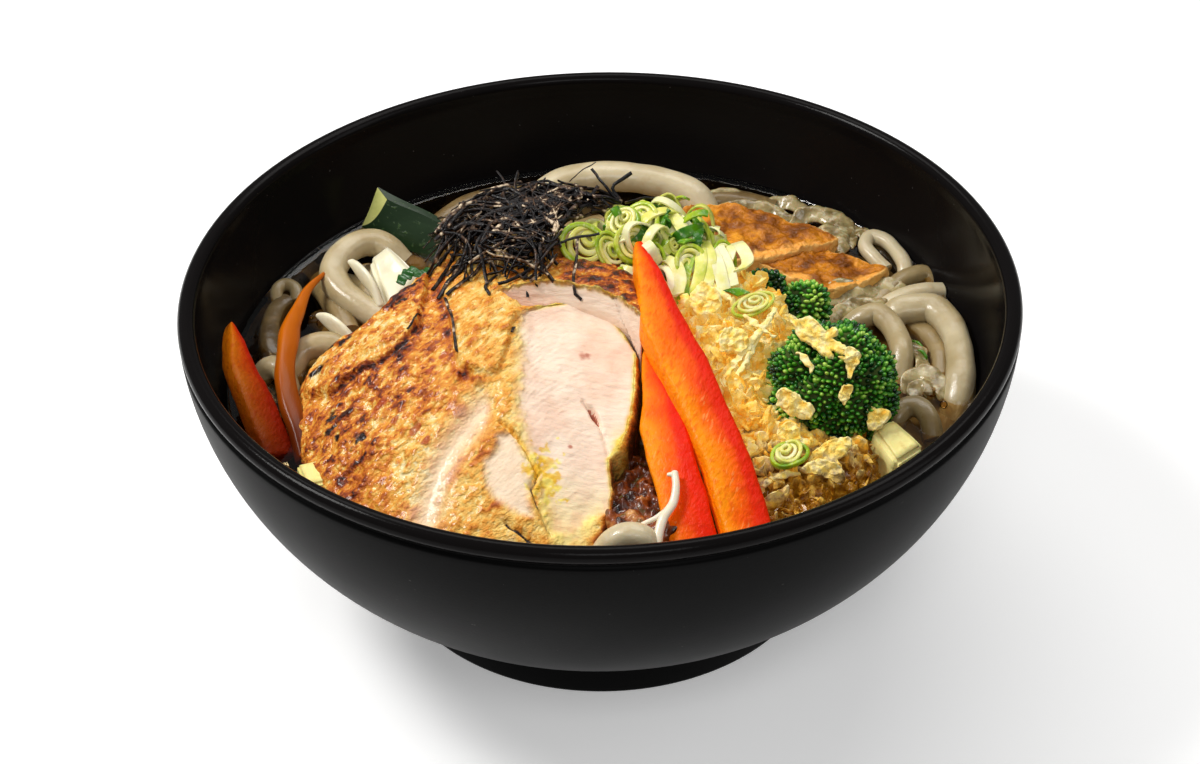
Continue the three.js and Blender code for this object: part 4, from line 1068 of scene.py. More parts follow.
def carrot_finish(g):
    along = g.mark("along")
    streak = g.noise(0.004, 3, stretch=(1, 0.3, 1))
    fresh = g.blend(streak, (172, 74, 2), (210, 116, 8))
    return {
        # Darker towards the lower end, which lies low by the wall: painted shade.
        "Base Color": g.blend(g.step(along + (streak - 0.5) * 0.3, 0.35, 0.95), fresh, (92, 34, 4)),
        "Roughness": 0.24 + 0.12 * streak,
        **wet(0.04, 0.1, 0.16),
        "Normal": g.bump(streak, 0.0004, 0.6),
    }


points, faces, marks = swept(
    [(-69.2, 31.5, 64.3), (-72.3, 25.4, 64.4), (-74.4, 17.2, 64.4), (-75.6, 9.3, 64), (-76, 1.1, 63.3),
     (-76, -6.5, 62.3), (-75.1, -13.1, 60.9), (-73.4, -19.3, 59), (-71.2, -25.8, 56.4), (-69.8, -31, 54)],
    64, 18, lambda t: (0.5 + 1.9 * min(1, t / 0.4), 0.7 + 1.1 * min(1, t / 0.4)), (0.5, -0.4, 0.8), 0.6,
)
carrot_material = finish("soft_carrot", carrot_finish)
carrot = solid("carrot_piece", roughened(points, 7, 0.35), faces, carrot_material, marks)
settle(carrot, "carrot", "carrot_strip")


def courgette_finish(g):
    streak = g.noise(0.005, 3, stretch=(0.4, 0.4, 1))
    fleck = g.step(g.noise(0.0012, 2, seed=5.0), 0.60, 0.72)
    rind = g.blend(streak, (10, 26, 10), (36, 62, 30))
    rind = g.blend(fleck * 0.4, rind, (84, 110, 60))
    flesh = g.blend(g.noise(0.003, 3), (176, 184, 92), (222, 218, 140))
    return {
        "Base Color": g.blend(g.step(g.mark("rind"), 0.3, 0.7), flesh, rind),
        "Roughness": 0.26 + 0.16 * streak,
        **wet(0.12, 0.12, 0.3),
        "Normal": g.bump(streak + fleck * 0.2, 0.0005, 0.5),
    }


# The edge next to the rind's top, the inner edge and the rind's low edge, at the cut end and at the far end.
WEDGE_ENDS = [
    [(-54.3, 62.9, 66.3), (-57, 66.8, 67.6), (-61.7, 61.1, 59)],
    [(-39.5, 56.2, 62), (-41.9, 59.6, 62.9), (-42, 50, 54.4)],
]
WEDGE_BULGE = 1.8


def wedge_section(top, inner, low, shrink=1.0):
    """A slice of round courgette, as points and rind marks: the rind from the inner edge over the top down to
    low, and one flat cut below."""
    top, inner, low = Vector(top), Vector(inner), Vector(low)
    out = ((top + low) / 2 - inner).normalized()
    arc = [top.lerp(low, k / 16) + out * WEDGE_BULGE * sin(pi * k / 16) for k in range(17)]
    flats = [low.lerp(inner, k / 8) for k in range(1, 8)] + [inner.lerp(top, k / 5) for k in range(5)]
    middle = (top + inner + low) / 3
    return [middle + (p - middle) * shrink for p in arc + flats], [1.0] * 17 + [0.0] * 7 + [1.0] * 5


def courgette_wedge():
    """The slice drawn out from its cut end to its far end, as points, faces and marks."""
    steps = 30
    away = (Vector(WEDGE_ENDS[1][0]) - Vector(WEDGE_ENDS[0][0])).normalized()
    body = [(k / steps, 1, 0) for k in range(steps + 1)]
    levels = [(0, 0.45, 0.25), (0, 0.92, 0.12), *body, (1, 0.9, -0.2)]
    points, rind = [], []
    for share, shrink, push in levels:
        corners = [Vector(a).lerp(Vector(b), share) for a, b in zip(*WEDGE_ENDS)]
        ring, marks = wedge_section(*corners, shrink)
        points += [p - away * push for p in ring]
        rind += [m * (shrink == 1) for m in marks]
    return roughened(np.array([p[:] for p in points]), 9, 0.4), tube(len(ring), len(levels)), {"rind": rind}


points, faces, marks = courgette_wedge()
courgette = solid("courgette_piece", points, faces, finish("courgette", courgette_finish), marks)
courgette.data.set_sharp_from_angle(angle=radians(40))
settle(courgette, "courgette", "courgette_wedge")

# ---------------------------------------------------------------- pak choi, chips and pale block
# A cut piece of white stem with a hollow in its face, a scrap of frilled leaf, two thin slivers of stem, a
# pale chip at the left and a pale block at the right with one cut face up.


def stem_finish(g):
    vein = g.noise(0.0016, 3, stretch=(0.35, 1, 1), turn=0.8)
    cloud = g.noise(0.008, 2)
    return {
        "Base Color": g.blend(cloud * 0.6 + vein * 0.3, (252, 248, 226), (228, 216, 170)),
        "Roughness": 0.28 + 0.12 * vein,
        **soft(0.2, 0.0015, (0.8, 0.8, 0.5)),
        **wet(0.1, 0.12),
        "Normal": g.bump(vein, 0.0003, 0.5),
    }


HOLLOW_REACH = 7


def block(lower, upper, hollow=0.0, soften=0.9):
    """Points and faces of a cut block from its lower and upper four corners, with soft edges and a hollow in
    its upper face."""
    shell = bmesh.new()
    corners = [shell.verts.new(p) for p in list(lower) + list(upper)]
    shell.faces.new(corners[3::-1])
    shell.faces.new(corners[4:])
    for k in range(4):
        after = (k + 1) % 4
        shell.faces.new([corners[k], corners[after], corners[after + 4], corners[k + 4]])
    bmesh.ops.recalc_face_normals(shell, faces=shell.faces)
    bmesh.ops.bevel(shell, geom=shell.edges[:], offset=soften, segments=3, affect="EDGES")
    bmesh.ops.subdivide_edges(shell, edges=shell.edges[:], cuts=5, use_grid_fill=True)
    bmesh.ops.triangulate(shell, faces=shell.faces[:])
    middle = sum((Vector(p) for p in upper), Vector()) / 4
    for v in shell.verts:
        near = max(0, 1 - (v.co - middle).length / HOLLOW_REACH)
        v.co.z -= hollow * near * near
    shell.verts.index_update()
    points = np.array([v.co[:] for v in shell.verts])
    faces = [[v.index for v in f.verts] for f in shell.faces]
    shell.free()
    return points, faces


stem_material = finish("pak_choi_stem_white", stem_finish)
points, faces = block(
    [(-54.5, 39.5, 58), (-45, 28, 57), (-51.5, 18.5, 54), (-57.5, 33, 56)],
    [(-53.2, 40.9, 67.3), (-44, 28.7, 65.6), (-52.4, 18.8, 60.6), (-58, 37.2, 65.4)],
    hollow=1.2,
)
stem = solid("stem_piece", roughened(points, 6, 0.3), faces, stem_material)
settle(stem, "pak_choi", "pak_choi_stem")
SLIVERS = {
    "upper": [(-62.4, 35.5, 65.6), (-60, 31.2, 65.6), (-56.6, 26, 64), (-54.4, 21.6, 61.6)],
    "lower": [(-69.5, 17.4, 62), (-66.4, 13.2, 62.6), (-63, 9.8, 62.2), (-60, 7.4, 61)],
}
for name, path in SLIVERS.items():
    points, faces, _ = swept(path, 30, 14, lambda t: (0.95, 0.6 + 2 * sin(pi * t)), (0, 0, 1), 0.8)
    piece = solid("sliver_" + name, points, faces, stem_material)
    settle(piece, "pak_choi", "stem_sliver_" + name)


def leaf_finish(g):
    vein = g.noise(0.0018, 3)
    return {
        "Base Color": g.blend(vein, (8, 52, 12), (40, 116, 26)),
        "Roughness": 0.3 + 0.15 * vein,
        **wet(0.2, 0.15),
        "Normal": g.bump(vein, 0.0005, 0.7),
    }


points, faces, _ = swept(
    [(-49.6, 23.4, 67), (-46.6, 26.4, 68.2), (-43.4, 26, 67.4), (-40.4, 27.6, 68.2), (-37.6, 30, 66)],
    48, 20, lambda t: (0.6 + 1.5 * sin(pi * (0.15 + 0.75 * t)), 0.3), (0, 0, 1),
)
points[:, 2] += 0.5 * np.sin(1.9 * points[:, 0] + 2.3 * points[:, 1])  # its frilled edge
leaf = solid("leaf_scrap", points, faces, finish("dark_leaf", leaf_finish))
settle(leaf, "pak_choi_leaf", "pak_choi_leaf")


def pale_finish(g):
    cloud = g.noise(0.006, 3)
    pith = g.noise(0.0018, 3, seed=3.0)
    body = g.blend(cloud, (250, 226, 120), (255, 246, 178))
    return {
        "Base Color": g.blend(g.step(pith, 0.5, 0.8) * 0.5, body, (206, 172, 66)),
        "Roughness": 0.3 + 0.15 * pith,
        **soft(0.15, 0.0015),
        **wet(0.03, 0.15, 0.15),
        "Normal": g.bump(pith, 0.0004, 0.6),
    }


pale_material = finish("pale_vegetable", pale_finish)
points, faces = block(
    [(-71.6, -37.4, 53), (-65.6, -35.4, 53), (-62.6, -44.4, 53), (-69, -45.6, 53)],
    [(-71.2, -37.2, 58.2), (-66, -36, 58.6), (-62.4, -43.6, 58.4), (-68.6, -45, 57.8)],
    soften=0.6,
)
chip = solid("chip_left", points, faces, pale_material)
points, faces = block(
    [(60.5, -37, 54), (66.5, -33.6, 54), (73.4, -42, 53), (65.6, -48, 53)],
    [(62.3, -37.4, 65), (67.8, -33.8, 65.8), (74, -42.6, 64), (67.2, -47.4, 62.8)],
)
pale_block = solid("block_right", roughened(points, 6, 0.3), faces, pale_material)
for piece, node in ((chip, "pale_chip"), (pale_block, "pale_block")):
    settle(piece, "pale_vegetable", node)

# ---------------------------------------------------------------- fried tofu
# Two pieces of deep-fried tofu that float at the back. Their tops are brown and oily, and their cut edges are
# rough, lighter and full of small holes.


def tofu_top(height, slope_x, slope_y):
    """A sloping, slightly puffed top, as a function of x and y."""

    def top(x, y):
        return height - slope_x * (x - 45) + slope_y * (y - 40) + 0.5 * np.sin(0.42 * x) * np.cos(0.3 * y)

    return top


def tofu_finish(g):
    side, rim = g.mark("side"), g.mark("rim")
    blister = g.noise(0.0060, 5)
    pore = g.noise(0.0011, 3, seed=8.0)
    oily = g.ramp(
        blister,
        (0.28, (250, 170, 48)), (0.44, (196, 118, 20)), (0.57, (140, 76, 8)), (0.72, (76, 36, 4)),
    )
    painted_lit_orange = g.blend(pore, (255, 196, 100), (240, 142, 36))
    cut = g.blend(pore, (255, 216, 132), (240, 156, 58))
    # An orange band on the front edges of the top: painted light where those edges face the front.
    top = g.blend(g.step(rim + (blister - 0.5) * 2.2, 0.35, 0.75), oily, painted_lit_orange)
    return {
        "Base Color": g.blend(g.step(side, 0.1, 0.7), top, cut),
        "Roughness": 0.28 + 0.2 * blister + 0.15 * side,
        **wet(0.1, 0.15, 0.2),
        "Normal": g.bump(blister * 0.6 + pore * 0.5, 0.0013, 0.8),
    }


tofu_material = finish("fried_tofu", tofu_finish)
# Each has its outline seen from above, its middle and its top.
TOFU = {
    "upper": (
        [(20, 56), (24, 61), (30, 61.5), (36, 61.2), (43, 58.8), (50, 54.6), (56, 52), (61.5, 47.5),
         (58, 44.8), (54.4, 43.4), (48.6, 40), (42, 37.6), (34, 37), (28, 38), (22, 45)],
        (40, 49), tofu_top(62.4, 0.05, 0.03),
    ),
    "lower": (
        [(37.9, 39.8), (40.6, 42), (45.1, 44.1), (51.6, 45.7), (59.2, 44.4), (66.4, 39.7), (73.2, 36.2),
         (69.4, 31.1), (64.1, 27.7), (58.9, 25.6), (54, 26.4), (48.1, 31.4), (42.8, 35.6)],
        (56, 36), tofu_top(61, 0.04, -0.05),
    ),
}
for name, (outline, centre, top) in TOFU.items():
    points, faces, side = cushion(outline, centre, 280, 56, top, lambda x, y: top(x, y) - 4.5, 0.5, 0.05)
    x, y = points[:, 0].copy(), points[:, 1].copy()
    # The band along the front edges of the top: painted light.
    rim = np.exp(-((np.maximum(0, depth_inside(x, y, outline)) / 3.4) ** 2))
    rim *= smooth_step(centre[1] - y, -3, 6)
    rim *= np.clip(0.8 + 1.1 * rough(x, y, 8, 2, 7.0), 0, 1)
    points[:, 2] += 0.9 * rough(x, y, 7.0, 4, 20.0) * (1 - 0.6 * side)
    points = roughened(roughened(points, 3.4, 0.5, seed=6.0), 1.2, 0.3, seed=3.0)
    piece = solid("tofu_" + name + "_piece", points, faces, tofu_material, {"side": side, "rim": rim})
    settle(piece, "tofu", "tofu_" + name)

# ---------------------------------------------------------------- broccoli
# Two blanched florets. Each is a short branching stalk under a head of rounded lobes, and every lobe is
# packed with buds about a millimetre and a half across.

BUD_SPACING = 1.04
BUD_SIZE = 0.72
GOLDEN_ANGLE = 2.39996
# Each head's middle, radius and number of lobes, its stalk's foot and radius, and how bright its buds are.
FLORETS = {
    "front": [((54, -22.5, 66.5), 16.4, 22, (44, -14, 52), 5.0, 0.0)],
    "back": [
        ((40.8, 13.5, 68.5), 6.4, 9, (50, 8, 57), 2.4, -0.3),
        ((50.6, 10.6, 66.6), 6.6, 9, (54, 8, 57), 2.4, 0.3),
        ((45.5, 8.6, 64.5), 6.2, 9, (52, 6, 57), 2.6, 0.0),
    ],
}


def joined(parts):
    """The points and faces of several parts as those of one."""
    points, faces, first = [], [], 0
    for part_points, part_faces, *_ in parts:
        points.append(part_points)
        faces += [[i + first for i in face] for face in part_faces]
        first += len(part_points)
    return np.concatenate(points), faces


def head_points(centre, radius, lobes):
    """A ball of rounded lobes set evenly by the golden angle, as points and faces."""
    arc = [(cos(a), sin(a)) for a in np.linspace(-1.5, 1.5, 56)]
    points, faces = turned([(0, -1), *arc, (0, 1)], 96)
    points = np.array(points)
    points /= np.linalg.norm(points, axis=1, keepdims=True)
    steps = np.arange(lobes)
    z = 1 - 2 * (steps + 0.5) / lobes
    flat = np.sqrt(1 - z * z)
    lobe = np.column_stack([flat * np.cos(steps * GOLDEN_ANGLE), flat * np.sin(steps * GOLDEN_ANGLE), z])
    nearest = np.arccos(np.clip(points @ lobe.T, -1, 1)).min(axis=1)
    reach = sqrt(4 * pi / lobes) * 0.62
    bulge = np.sqrt(np.maximum(0, 1 - (nearest / reach) ** 2))
    return np.array(centre) + points * radius * (0.74 + 0.26 * bulge)[:, None], faces


def bud_steps(g, given):
    """Buds packed over a head, each a small ball drawn out along its axis, uneven in size and tint."""
    scatter = {"Mesh": given["Geometry"], "Distance Min": given["Spacing"], "Density Max": 4e6}
    scatter["Seed"] = given["Seed"]
    poisson = {"distribute_method": "POISSON"}
    points = g.node("GeometryNodeDistributePointsOnFaces", poisson, scatter)
    facing = Value(g, points.socket.node.outputs["Rotation"])
    ball = g.node("GeometryNodeMeshUVSphere", {}, {"Segments": 6, "Rings": 5, "Radius": 1.0})
    # Each bud keeps its height along its own axis. The finish darkens the bud's base by it, as painted shade
    # between the buds.
    place = g.node("GeometryNodeInputPosition")
    tip = g.node("ShaderNodeSeparateXYZ", {}, {0: place}, 2)
    marked = {"Geometry": ball, "Name": "tip", "Value": tip}
    ball = g.node("GeometryNodeStoreNamedAttribute", {"data_type": "FLOAT", "domain": "POINT"}, marked)
    shape = {0: (0.7, 0.55, 1.1), 1: (1.35, 0.95, 2.3), "Seed": given["Seed"]}
    spread = g.node("FunctionNodeRandomValue", {"data_type": "FLOAT_VECTOR"}, shape)
    size = g.node("ShaderNodeVectorMath", {"operation": "SCALE"}, {0: spread, "Scale": given["Size"]})
    placed = {"Points": points, "Instance": ball, "Rotation": facing, "Scale": size}
    buds = g.node("GeometryNodeInstanceOnPoints", {}, placed)
    tint = g.node("FunctionNodeRandomValue", {"data_type": "FLOAT"}, {2: 0.0, 3: 1.0, "Seed": 5}, 1)
    named = {"Geometry": buds, "Name": "tint", "Value": tint + given["Brightness"]}
    buds = g.node("GeometryNodeStoreNamedAttribute", {"data_type": "FLOAT", "domain": "INSTANCE"}, named)
    return dressed(g, buds, given)


def bud_finish(g):
    tint, tip = g.mark("tint"), g.mark("tip")
    cloud = g.noise(0.006, 2)
    # Bud bases are darkened by the tip mark: painted shade in the gaps between buds.
    colour = g.ramp(
        tint * 0.5 + (cloud - 0.5) * 1.1 + tip * 0.34 + 0.04,
        (0.0, (2, 20, 8)), (0.25, (6, 50, 14)), (0.48, (30, 108, 18)), (0.68, (88, 168, 34)),
        (0.9, (190, 226, 96)),
    )
    return {
        "Base Color": colour,
        "Roughness": 0.22 + 0.15 * tint,
        **wet(0.2, 0.12, 0.4),
        "Normal": g.bump(g.noise(0.0005, 1), 0.0002, 0.5),
    }


def stalk_finish(g):
    depth = g.mark("along")
    cloud = g.noise(0.004, 3)
    return {
        "Base Color": g.blend(depth * 0.8 + cloud * 0.3, (3, 20, 6), (150, 176, 84)),
        "Roughness": 0.7 + 0.1 * cloud,
        "Specular IOR Level": 0.1,
        "Normal": g.bump(cloud, 0.0006, 0.6),
    }


bud_material = finish("broccoli_bud", bud_finish)
stalk_material = finish("broccoli_stalk", stalk_finish)
for name, heads in FLORETS.items():
    for number, (centre, radius, lobes, foot, foot_radius, brightness) in enumerate(heads, 1):
        head_name = "broccoli_%s_%s_%d"
        points, faces = head_points(centre, radius - 1.0, lobes)
        buds = grown(
            head_name % (name, "buds", number),
            smooth_mesh("head_seed", points, faces),
            {
                "Spacing": BUD_SPACING * MM, "Size": BUD_SIZE * MM, "Brightness": brightness,
                "Seed": 3 + number, "Material": bud_material,
            },
            bud_steps,
        )
        stalk_points, stalk_faces, stalk_marks = swept(
            [centre, foot], 12, 24, lambda t: (foot_radius * (1.3 - 0.4 * t),) * 2, (0.1, 1, 0.1)
        )
        core_form = joined([(points, faces), (roughened(stalk_points, 4, 0.7), stalk_faces)])
        depth = np.concatenate([np.zeros(len(points)), stalk_marks["along"]])
        core = solid(head_name % (name, "stalk", number), *core_form, stalk_material, {"along": depth})
        for piece in (buds, core):
            settle(piece, "broccoli", "broccoli_" + name)

# ---------------------------------------------------------------- batter crumbs
# Drips of batter fried crisp: a craggy heap of airy golden crumbs and flakes, browner and soaked where it
# meets the broth. Loose flakes lie on the broccoli and the pale block, and long drips lie across the heap.

HEAP_OUTLINE = [
    (14, 0), (22, 8), (31, 10), (40, 7), (46, -4), (56, -30), (63, -37), (62, -50), (52, -61), (42, -67),
    (34, -66), (25, -58), (15, -40), (12, -20),
]


def crumbs_top(x, y):
    """The craggy top of the heap, which slopes down to the front, and down under the peppers on the left."""
    crags = np.sin(0.9 * x + 0.4 * y) * np.cos(0.7 * y - 0.3 * x) + np.sin(0.47 * x - 1.1 * y)
    by_peppers = 0.16 * np.maximum(0, 36 - x)
    fall = 0.006 * np.maximum(0, x - 38) ** 2
    return np.maximum(74.4 + 0.26 * y, 59.4) + by_peppers - fall + 0.8 * crags


def tree_of(*pieces):
    """What rays and nearest points are tested against, in millimetres."""
    points, faces = [], []
    for piece in pieces:
        faces += [[i + len(points) for i in f.vertices] for f in piece.data.polygons]
        points += [v.co / MM for v in piece.data.vertices]
    return BVHTree.FromPolygons(points, faces)


def shaken(g, pieces, scale, reach, given):
    """The placed pieces made real, with every point moved by noise, in their material."""
    whole = g.node("GeometryNodeRealizeInstances", {}, {"Geometry": pieces})
    place = g.node("GeometryNodeInputPosition")
    waves = g.node("ShaderNodeTexNoise", {}, {"Vector": place, "Scale": scale, "Detail": 3.0}, "Color")
    centred = g.node("ShaderNodeVectorMath", {"operation": "SUBTRACT"}, {0: waves, 1: (0.5, 0.5, 0.5)})
    offset = g.node("ShaderNodeVectorMath", {"operation": "SCALE"}, {0: centred, "Scale": reach})
    craggy = g.node("GeometryNodeSetPosition", {}, {"Geometry": whole, "Offset": offset})
    return g.node("GeometryNodeSetMaterial", {}, {"Geometry": craggy, "Material": given["Material"]})


def crumb_steps(g, given):
    """A craggy bit at each place, turned at random and stretched to its kept shape."""
    turns = {0: (0, 0, 0), 1: (6.28, 6.28, 6.28), "Seed": given["Seed"]}
    angles = g.node("FunctionNodeRandomValue", {"data_type": "FLOAT_VECTOR"}, turns)
    ball = g.node("GeometryNodeMeshIcoSphere", {}, {"Radius": 1.0, "Subdivisions": 2})
    shape = g.kept("shape", "FLOAT_VECTOR")
    placed = {"Points": given["Geometry"], "Instance": ball, "Rotation": angles, "Scale": shape}
    crumbs = g.node("GeometryNodeInstanceOnPoints", {}, placed)
    return shaken(g, crumbs, 420.0, given["Ruggedness"], given)


def crumb_finish(g):
    place = g.node("ShaderNodeTexCoord", output="Object")
    height = g.node("ShaderNodeSeparateXYZ", {}, {0: place}, 2)
    mottle = g.noise(0.0020, 4, seed=1.0)
    damp = 1 - g.step(height + (mottle - 0.5) * 0.010, (BROTH_LEVEL + 5) * MM, (BROTH_LEVEL + 11) * MM)
    crisp = g.ramp(
        mottle * 1.1 + g.mark("tint") * 0.4 - 0.50,
        (0.0, (255, 240, 176)), (0.26, (255, 222, 112)), (0.46, (254, 194, 62)),
        (0.66, (236, 152, 28)), (0.90, (170, 86, 10)),
    )
    soaked = g.ramp(mottle, (0.3, (96, 50, 4)), (0.5, (160, 104, 16)), (0.7, (212, 160, 56)))
    colour = g.blend(damp, crisp, soaked)
    return {
        "Base Color": colour,
        "Roughness": 0.5 - 0.3 * damp + 0.1 * mottle,
        # The crumbs glow faintly in their own colour, though they are no lamp. This is painted light that
        # lifts the shade between them.
        "Emission Color": colour,
        "Emission Strength": 0.07,
        **soft(0.1, 0.0012, (1.0, 0.6, 0.2)),
        **wet(damp * 0.3, 0.08, 0.3),
        "Normal": g.bump(mottle * 0.6 + g.noise(0.0007, 2, seed=4.0) * 0.5, 0.0007, 0.8),
    }


IN_THE_CRUMBS = ["pepper_long", "pepper_short", "broccoli_front", "broccoli_back", "pale_block"]
standing = tree_of(*[cad_nodes[name] for name in IN_THE_CRUMBS + ["chicken_front", "chicken_back"]])


# A crumb is a chunk, a thin drip or a flat flake: half its length, width and thickness for a size of 1 mm.
CRUMB_KINDS = [(0.9, 0.65, 0.5), (1.2, 0.9, 0.22), (1.9, 0.4, 0.3), (1.5, 0.6, 0.2), (1.25, 1.0, 0.2)]
CRUMB_SIZES = (0.8, 1.1, 1.5, 2.0, 2.7)
TOP_CRUMBS = 1000
RIM_CRUMBS = 330


def crumb_places(draw):
    """Places and shapes over the heap and down its rim, all clear of what stands in it."""
    places, shapes = [], []
    loop_x, loop_y = zip(*HEAP_OUTLINE)
    while len(places) < TOP_CRUMBS:
        x, y = draw.uniform(min(loop_x), max(loop_x)), draw.uniform(min(loop_y), max(loop_y))
        if float(depth_inside(np.array([x]), np.array([y]), HEAP_OUTLINE)[0]) < 0.5:
            continue
        size = draw.choice(CRUMB_SIZES)
        kind = draw.choice(CRUMB_KINDS)
        z = float(crumbs_top(x, y)) + draw.uniform(-0.3, 1.6)
        above = standing.ray_cast(Vector((x, y, z)), Vector((0, 0, 1)))[0]
        if above is not None or standing.find_nearest(Vector((x, y, z)))[3] < size * 0.8:
            continue
        places.append((x, y, z))
        shapes.append([size * k * MM for k in kind])
    for x, y in smooth_line([(x, y, 0) for x, y in HEAP_OUTLINE], RIM_CRUMBS, closed=True)[:, :2]:
        place = Vector((x, y, float(crumbs_top(x, y)) - draw.uniform(0, 11)))
        size, kind = draw.uniform(0.8, 1.7), draw.choice(CRUMB_KINDS)
        if standing.find_nearest(place)[3] > size * 0.8:
            places.append(place[:])
            shapes.append([size * k * MM for k in kind])
    return places, shapes


draw = random.Random(5)
places, shapes = crumb_places(draw)
crumb_material = finish("batter_crumb", crumb_finish)
crumb_marks = {"tint": [draw.random() for _ in places], "shape": shapes}
crumbs = grown(
    "crumb_bits",
    mesh_of("crumb_places", places, [], [], crumb_marks),
    {"Seed": 3, "Ruggedness": 3.0 * MM, "Material": crumb_material},
    crumb_steps,
)
points, faces, side = cushion(
    HEAP_OUTLINE, (36, -26), 280, 90, crumbs_top, lambda x, y: crumbs_top(x, y) - 14, 1.4, 0.05
)
points[:, 2] += 1.0 * rough(points[:, 0], points[:, 1], 2.0, 4, 30.0) - 0.4
points = roughened(points, 3, 0.9)
crumb_core = solid("crumb_heap", points, faces, crumb_material, {"tint": [0.45] * len(points)})

FLAKE_VIEW = radians(36.6)  # how far down the flakes are looked at
# Flat flakes: where each one's middle lies, the way it faces, and its outline as seen from in front.
BIG_FLAKES = [
    ((50.2, -25.6, 83.2), (-0.2, -0.5, 0.8), [
        (-7, 5.4), (-4.7, 4.2), (-2.1, 4.9), (0, 3.5), (1.4, 1.6), (3.8, 2.6), (4.9, 1.2), (3.3, -0.2),
        (6.1, -2.1), (5.6, -4), (2.8, -3.1), (3, -4.7), (0.5, -4), (-1.6, -1.6), (-4.2, 0), (-5.9, 3)]),
    ((57.8, -32.6, 81.2), (0.3, -0.7, 0.7), [
        (-3.2, 1.4), (-1.3, 1), (-1.5, 3.3), (2, 1.9), (1.1, -0.5), (0, -2.4), (-1.2, -4), (-1.6, -0.5)]),
    ((56.1, -38.2, 75.6), (0.1, -1, 0.5), [
        (-1.6, -0.2), (-0.7, 2.1), (1.6, 1.9), (0.7, 0.2), (-0.7, -2.4), (-1.2, -1.4)]),
    ((44.4, -37.4, 73.2), (-0.4, -0.9, 0.6), [
        (-3.8, 2.6), (-1.9, 3.3), (0.3, 1.9), (1.6, 0.5), (4, -0.9), (3, -3.3), (-0.3, -3.3), (-2.6, -1.9),
        (-4.2, -0.5)]),
    ((63.6, -37.4, 68.6), (-0.2, -0.5, 0.8), [
        (-3, 1.6), (-1.8, 3.4), (-0.5, 1.9), (1.4, 2.2), (2.8, 1.1), (1.8, -1), (0, -1.9), (-1.4, -3.2),
        (-2.8, -2), (-2, -0.2)]),
    ((52, -46, 67), (0, -0.6, 0.8), [
        (-4.8, -2.1), (-1.5, 0.7), (1.4, 2.1), (4.9, 1.4), (3.8, -1.6), (0.9, -3.5), (2.3, -5.4),
        (-1.4, -7.3), (-4.7, -5.9)]),
    ((49.4, -53.6, 64.8), (0.1, -0.7, 0.7), [
        (-4.9, 1.6), (0.2, 3.5), (4, 1.6), (5.6, -1.2), (4, -2.1), (1.2, 0.2), (-2.1, 0.2)]),
    ((25.2, -5.6, 80), (-0.2, -0.6, 0.8), [
        (-3.3, 3), (-0.5, 4.5), (2.8, 2.6), (3.8, -0.2), (1.9, -3), (-1.4, -3.5), (-3.8, -0.7)]),
    ((31.5, -18, 77), (0.1, -0.5, 0.8), [
        (-3, 2), (0, 3.6), (2.6, 2), (3.4, -1), (1, -3), (-1, -1.4), (-3, -2.4)]),
    ((42.6, -42, 68.6), (0.1, -0.6, 0.8), [
        (-2.4, 1), (0.6, 2.4), (2.4, 1), (3, -1.6), (0.4, -2.4), (-2, -1.4)]),
]
CRUMB_DRIPS = [
    [(41.5, -8.1, 79.2), (38.4, -13.1, 77.6), (34.4, -18, 75.4), (30.7, -23, 73), (27.4, -28.2, 71)],
    [(40, -9.9, 78.4), (36.4, -16.2, 75.8), (33.6, -21.5, 73.4), (31.5, -25.9, 71.8)],
    [(34.2, -9, 78), (37.5, -13.1, 77.4), (40.9, -15.9, 76.8)],
    [(43.1, -40.1, 67.4), (45.2, -42.6, 66.4), (47.9, -44.3, 65.4)],
    [(45.6, -27.1, 79.9), (47.1, -29, 79.4), (48.6, -31.5, 78)],
    [(26, 2.6, 80), (29, -1, 79.4), (31.4, -4, 78.8)],
    [(36, -56, 64), (40, -53, 64.6), (44, -52.6, 64.4)],
]


FLAKE_THICKNESS = 0.7


def flake(middle, faces_to, outline, seed):
    """A thin craggy plate whose outline looks right from in front."""
    ahead = Vector((0, cos(FLAKE_VIEW), -sin(FLAKE_VIEW)))
    upright = Vector((0, sin(FLAKE_VIEW), cos(FLAKE_VIEW)))
    normal = Vector(faces_to).normalized()
    leans = [way - ahead * (way.dot(normal) / ahead.dot(normal)) for way in (Vector((1, 0, 0)), upright)]
    frilled = [(u + 0.25 * sin(9 * v), v + 0.25 * sin(8 * u)) for u, v in outline]
    points, faces, side = cushion(
        frilled, (0, 0), 96, 16, lambda x, y: 0 * x, lambda x, y: 0 * x - FLAKE_THICKNESS, 0.3, 0.12
    )
    points[:, 2] += 0.9 * rough(points[:, 0], points[:, 1], 2.4, 4, 3.0 * seed)
    points = roughened(points, 1.1, 0.45, seed=seed)
    moved = [Vector(middle) + leans[0] * u + leans[1] * v + normal * w for u, v, w in points]
    return np.array([p[:] for p in moved]), faces, side


def crumb_flakes():
    """All the flat flakes and long drips as parts, and the tint of each point."""
    parts, tints = [], []
    for number, (middle, faces_to, outline) in enumerate(BIG_FLAKES):
        points, faces, side = flake(middle, faces_to, outline, number)
        parts.append((points, faces))
        # Flakes are paler towards their thin edges: painted highlight.
        tints += list(0.1 + 0.3 * (1 - side))
    for number, path in enumerate(CRUMB_DRIPS):
        points, faces, _ = swept(path, 40, 12, lambda t: (0.4 + 0.5 * sin(pi * t), 0.4), (0, 0, 1))
        parts.append((roughened(points, 1.5, 0.7, seed=number), faces))
        tints += [0.1] * len(points)
    return parts, tints


parts, tints = crumb_flakes()
flakes = solid("crumb_flakes", *joined(parts), crumb_material, {"tint": tints})
for piece in (crumbs, crumb_core, flakes):
    settle(piece, "batter_crumbs", "batter_crumbs")


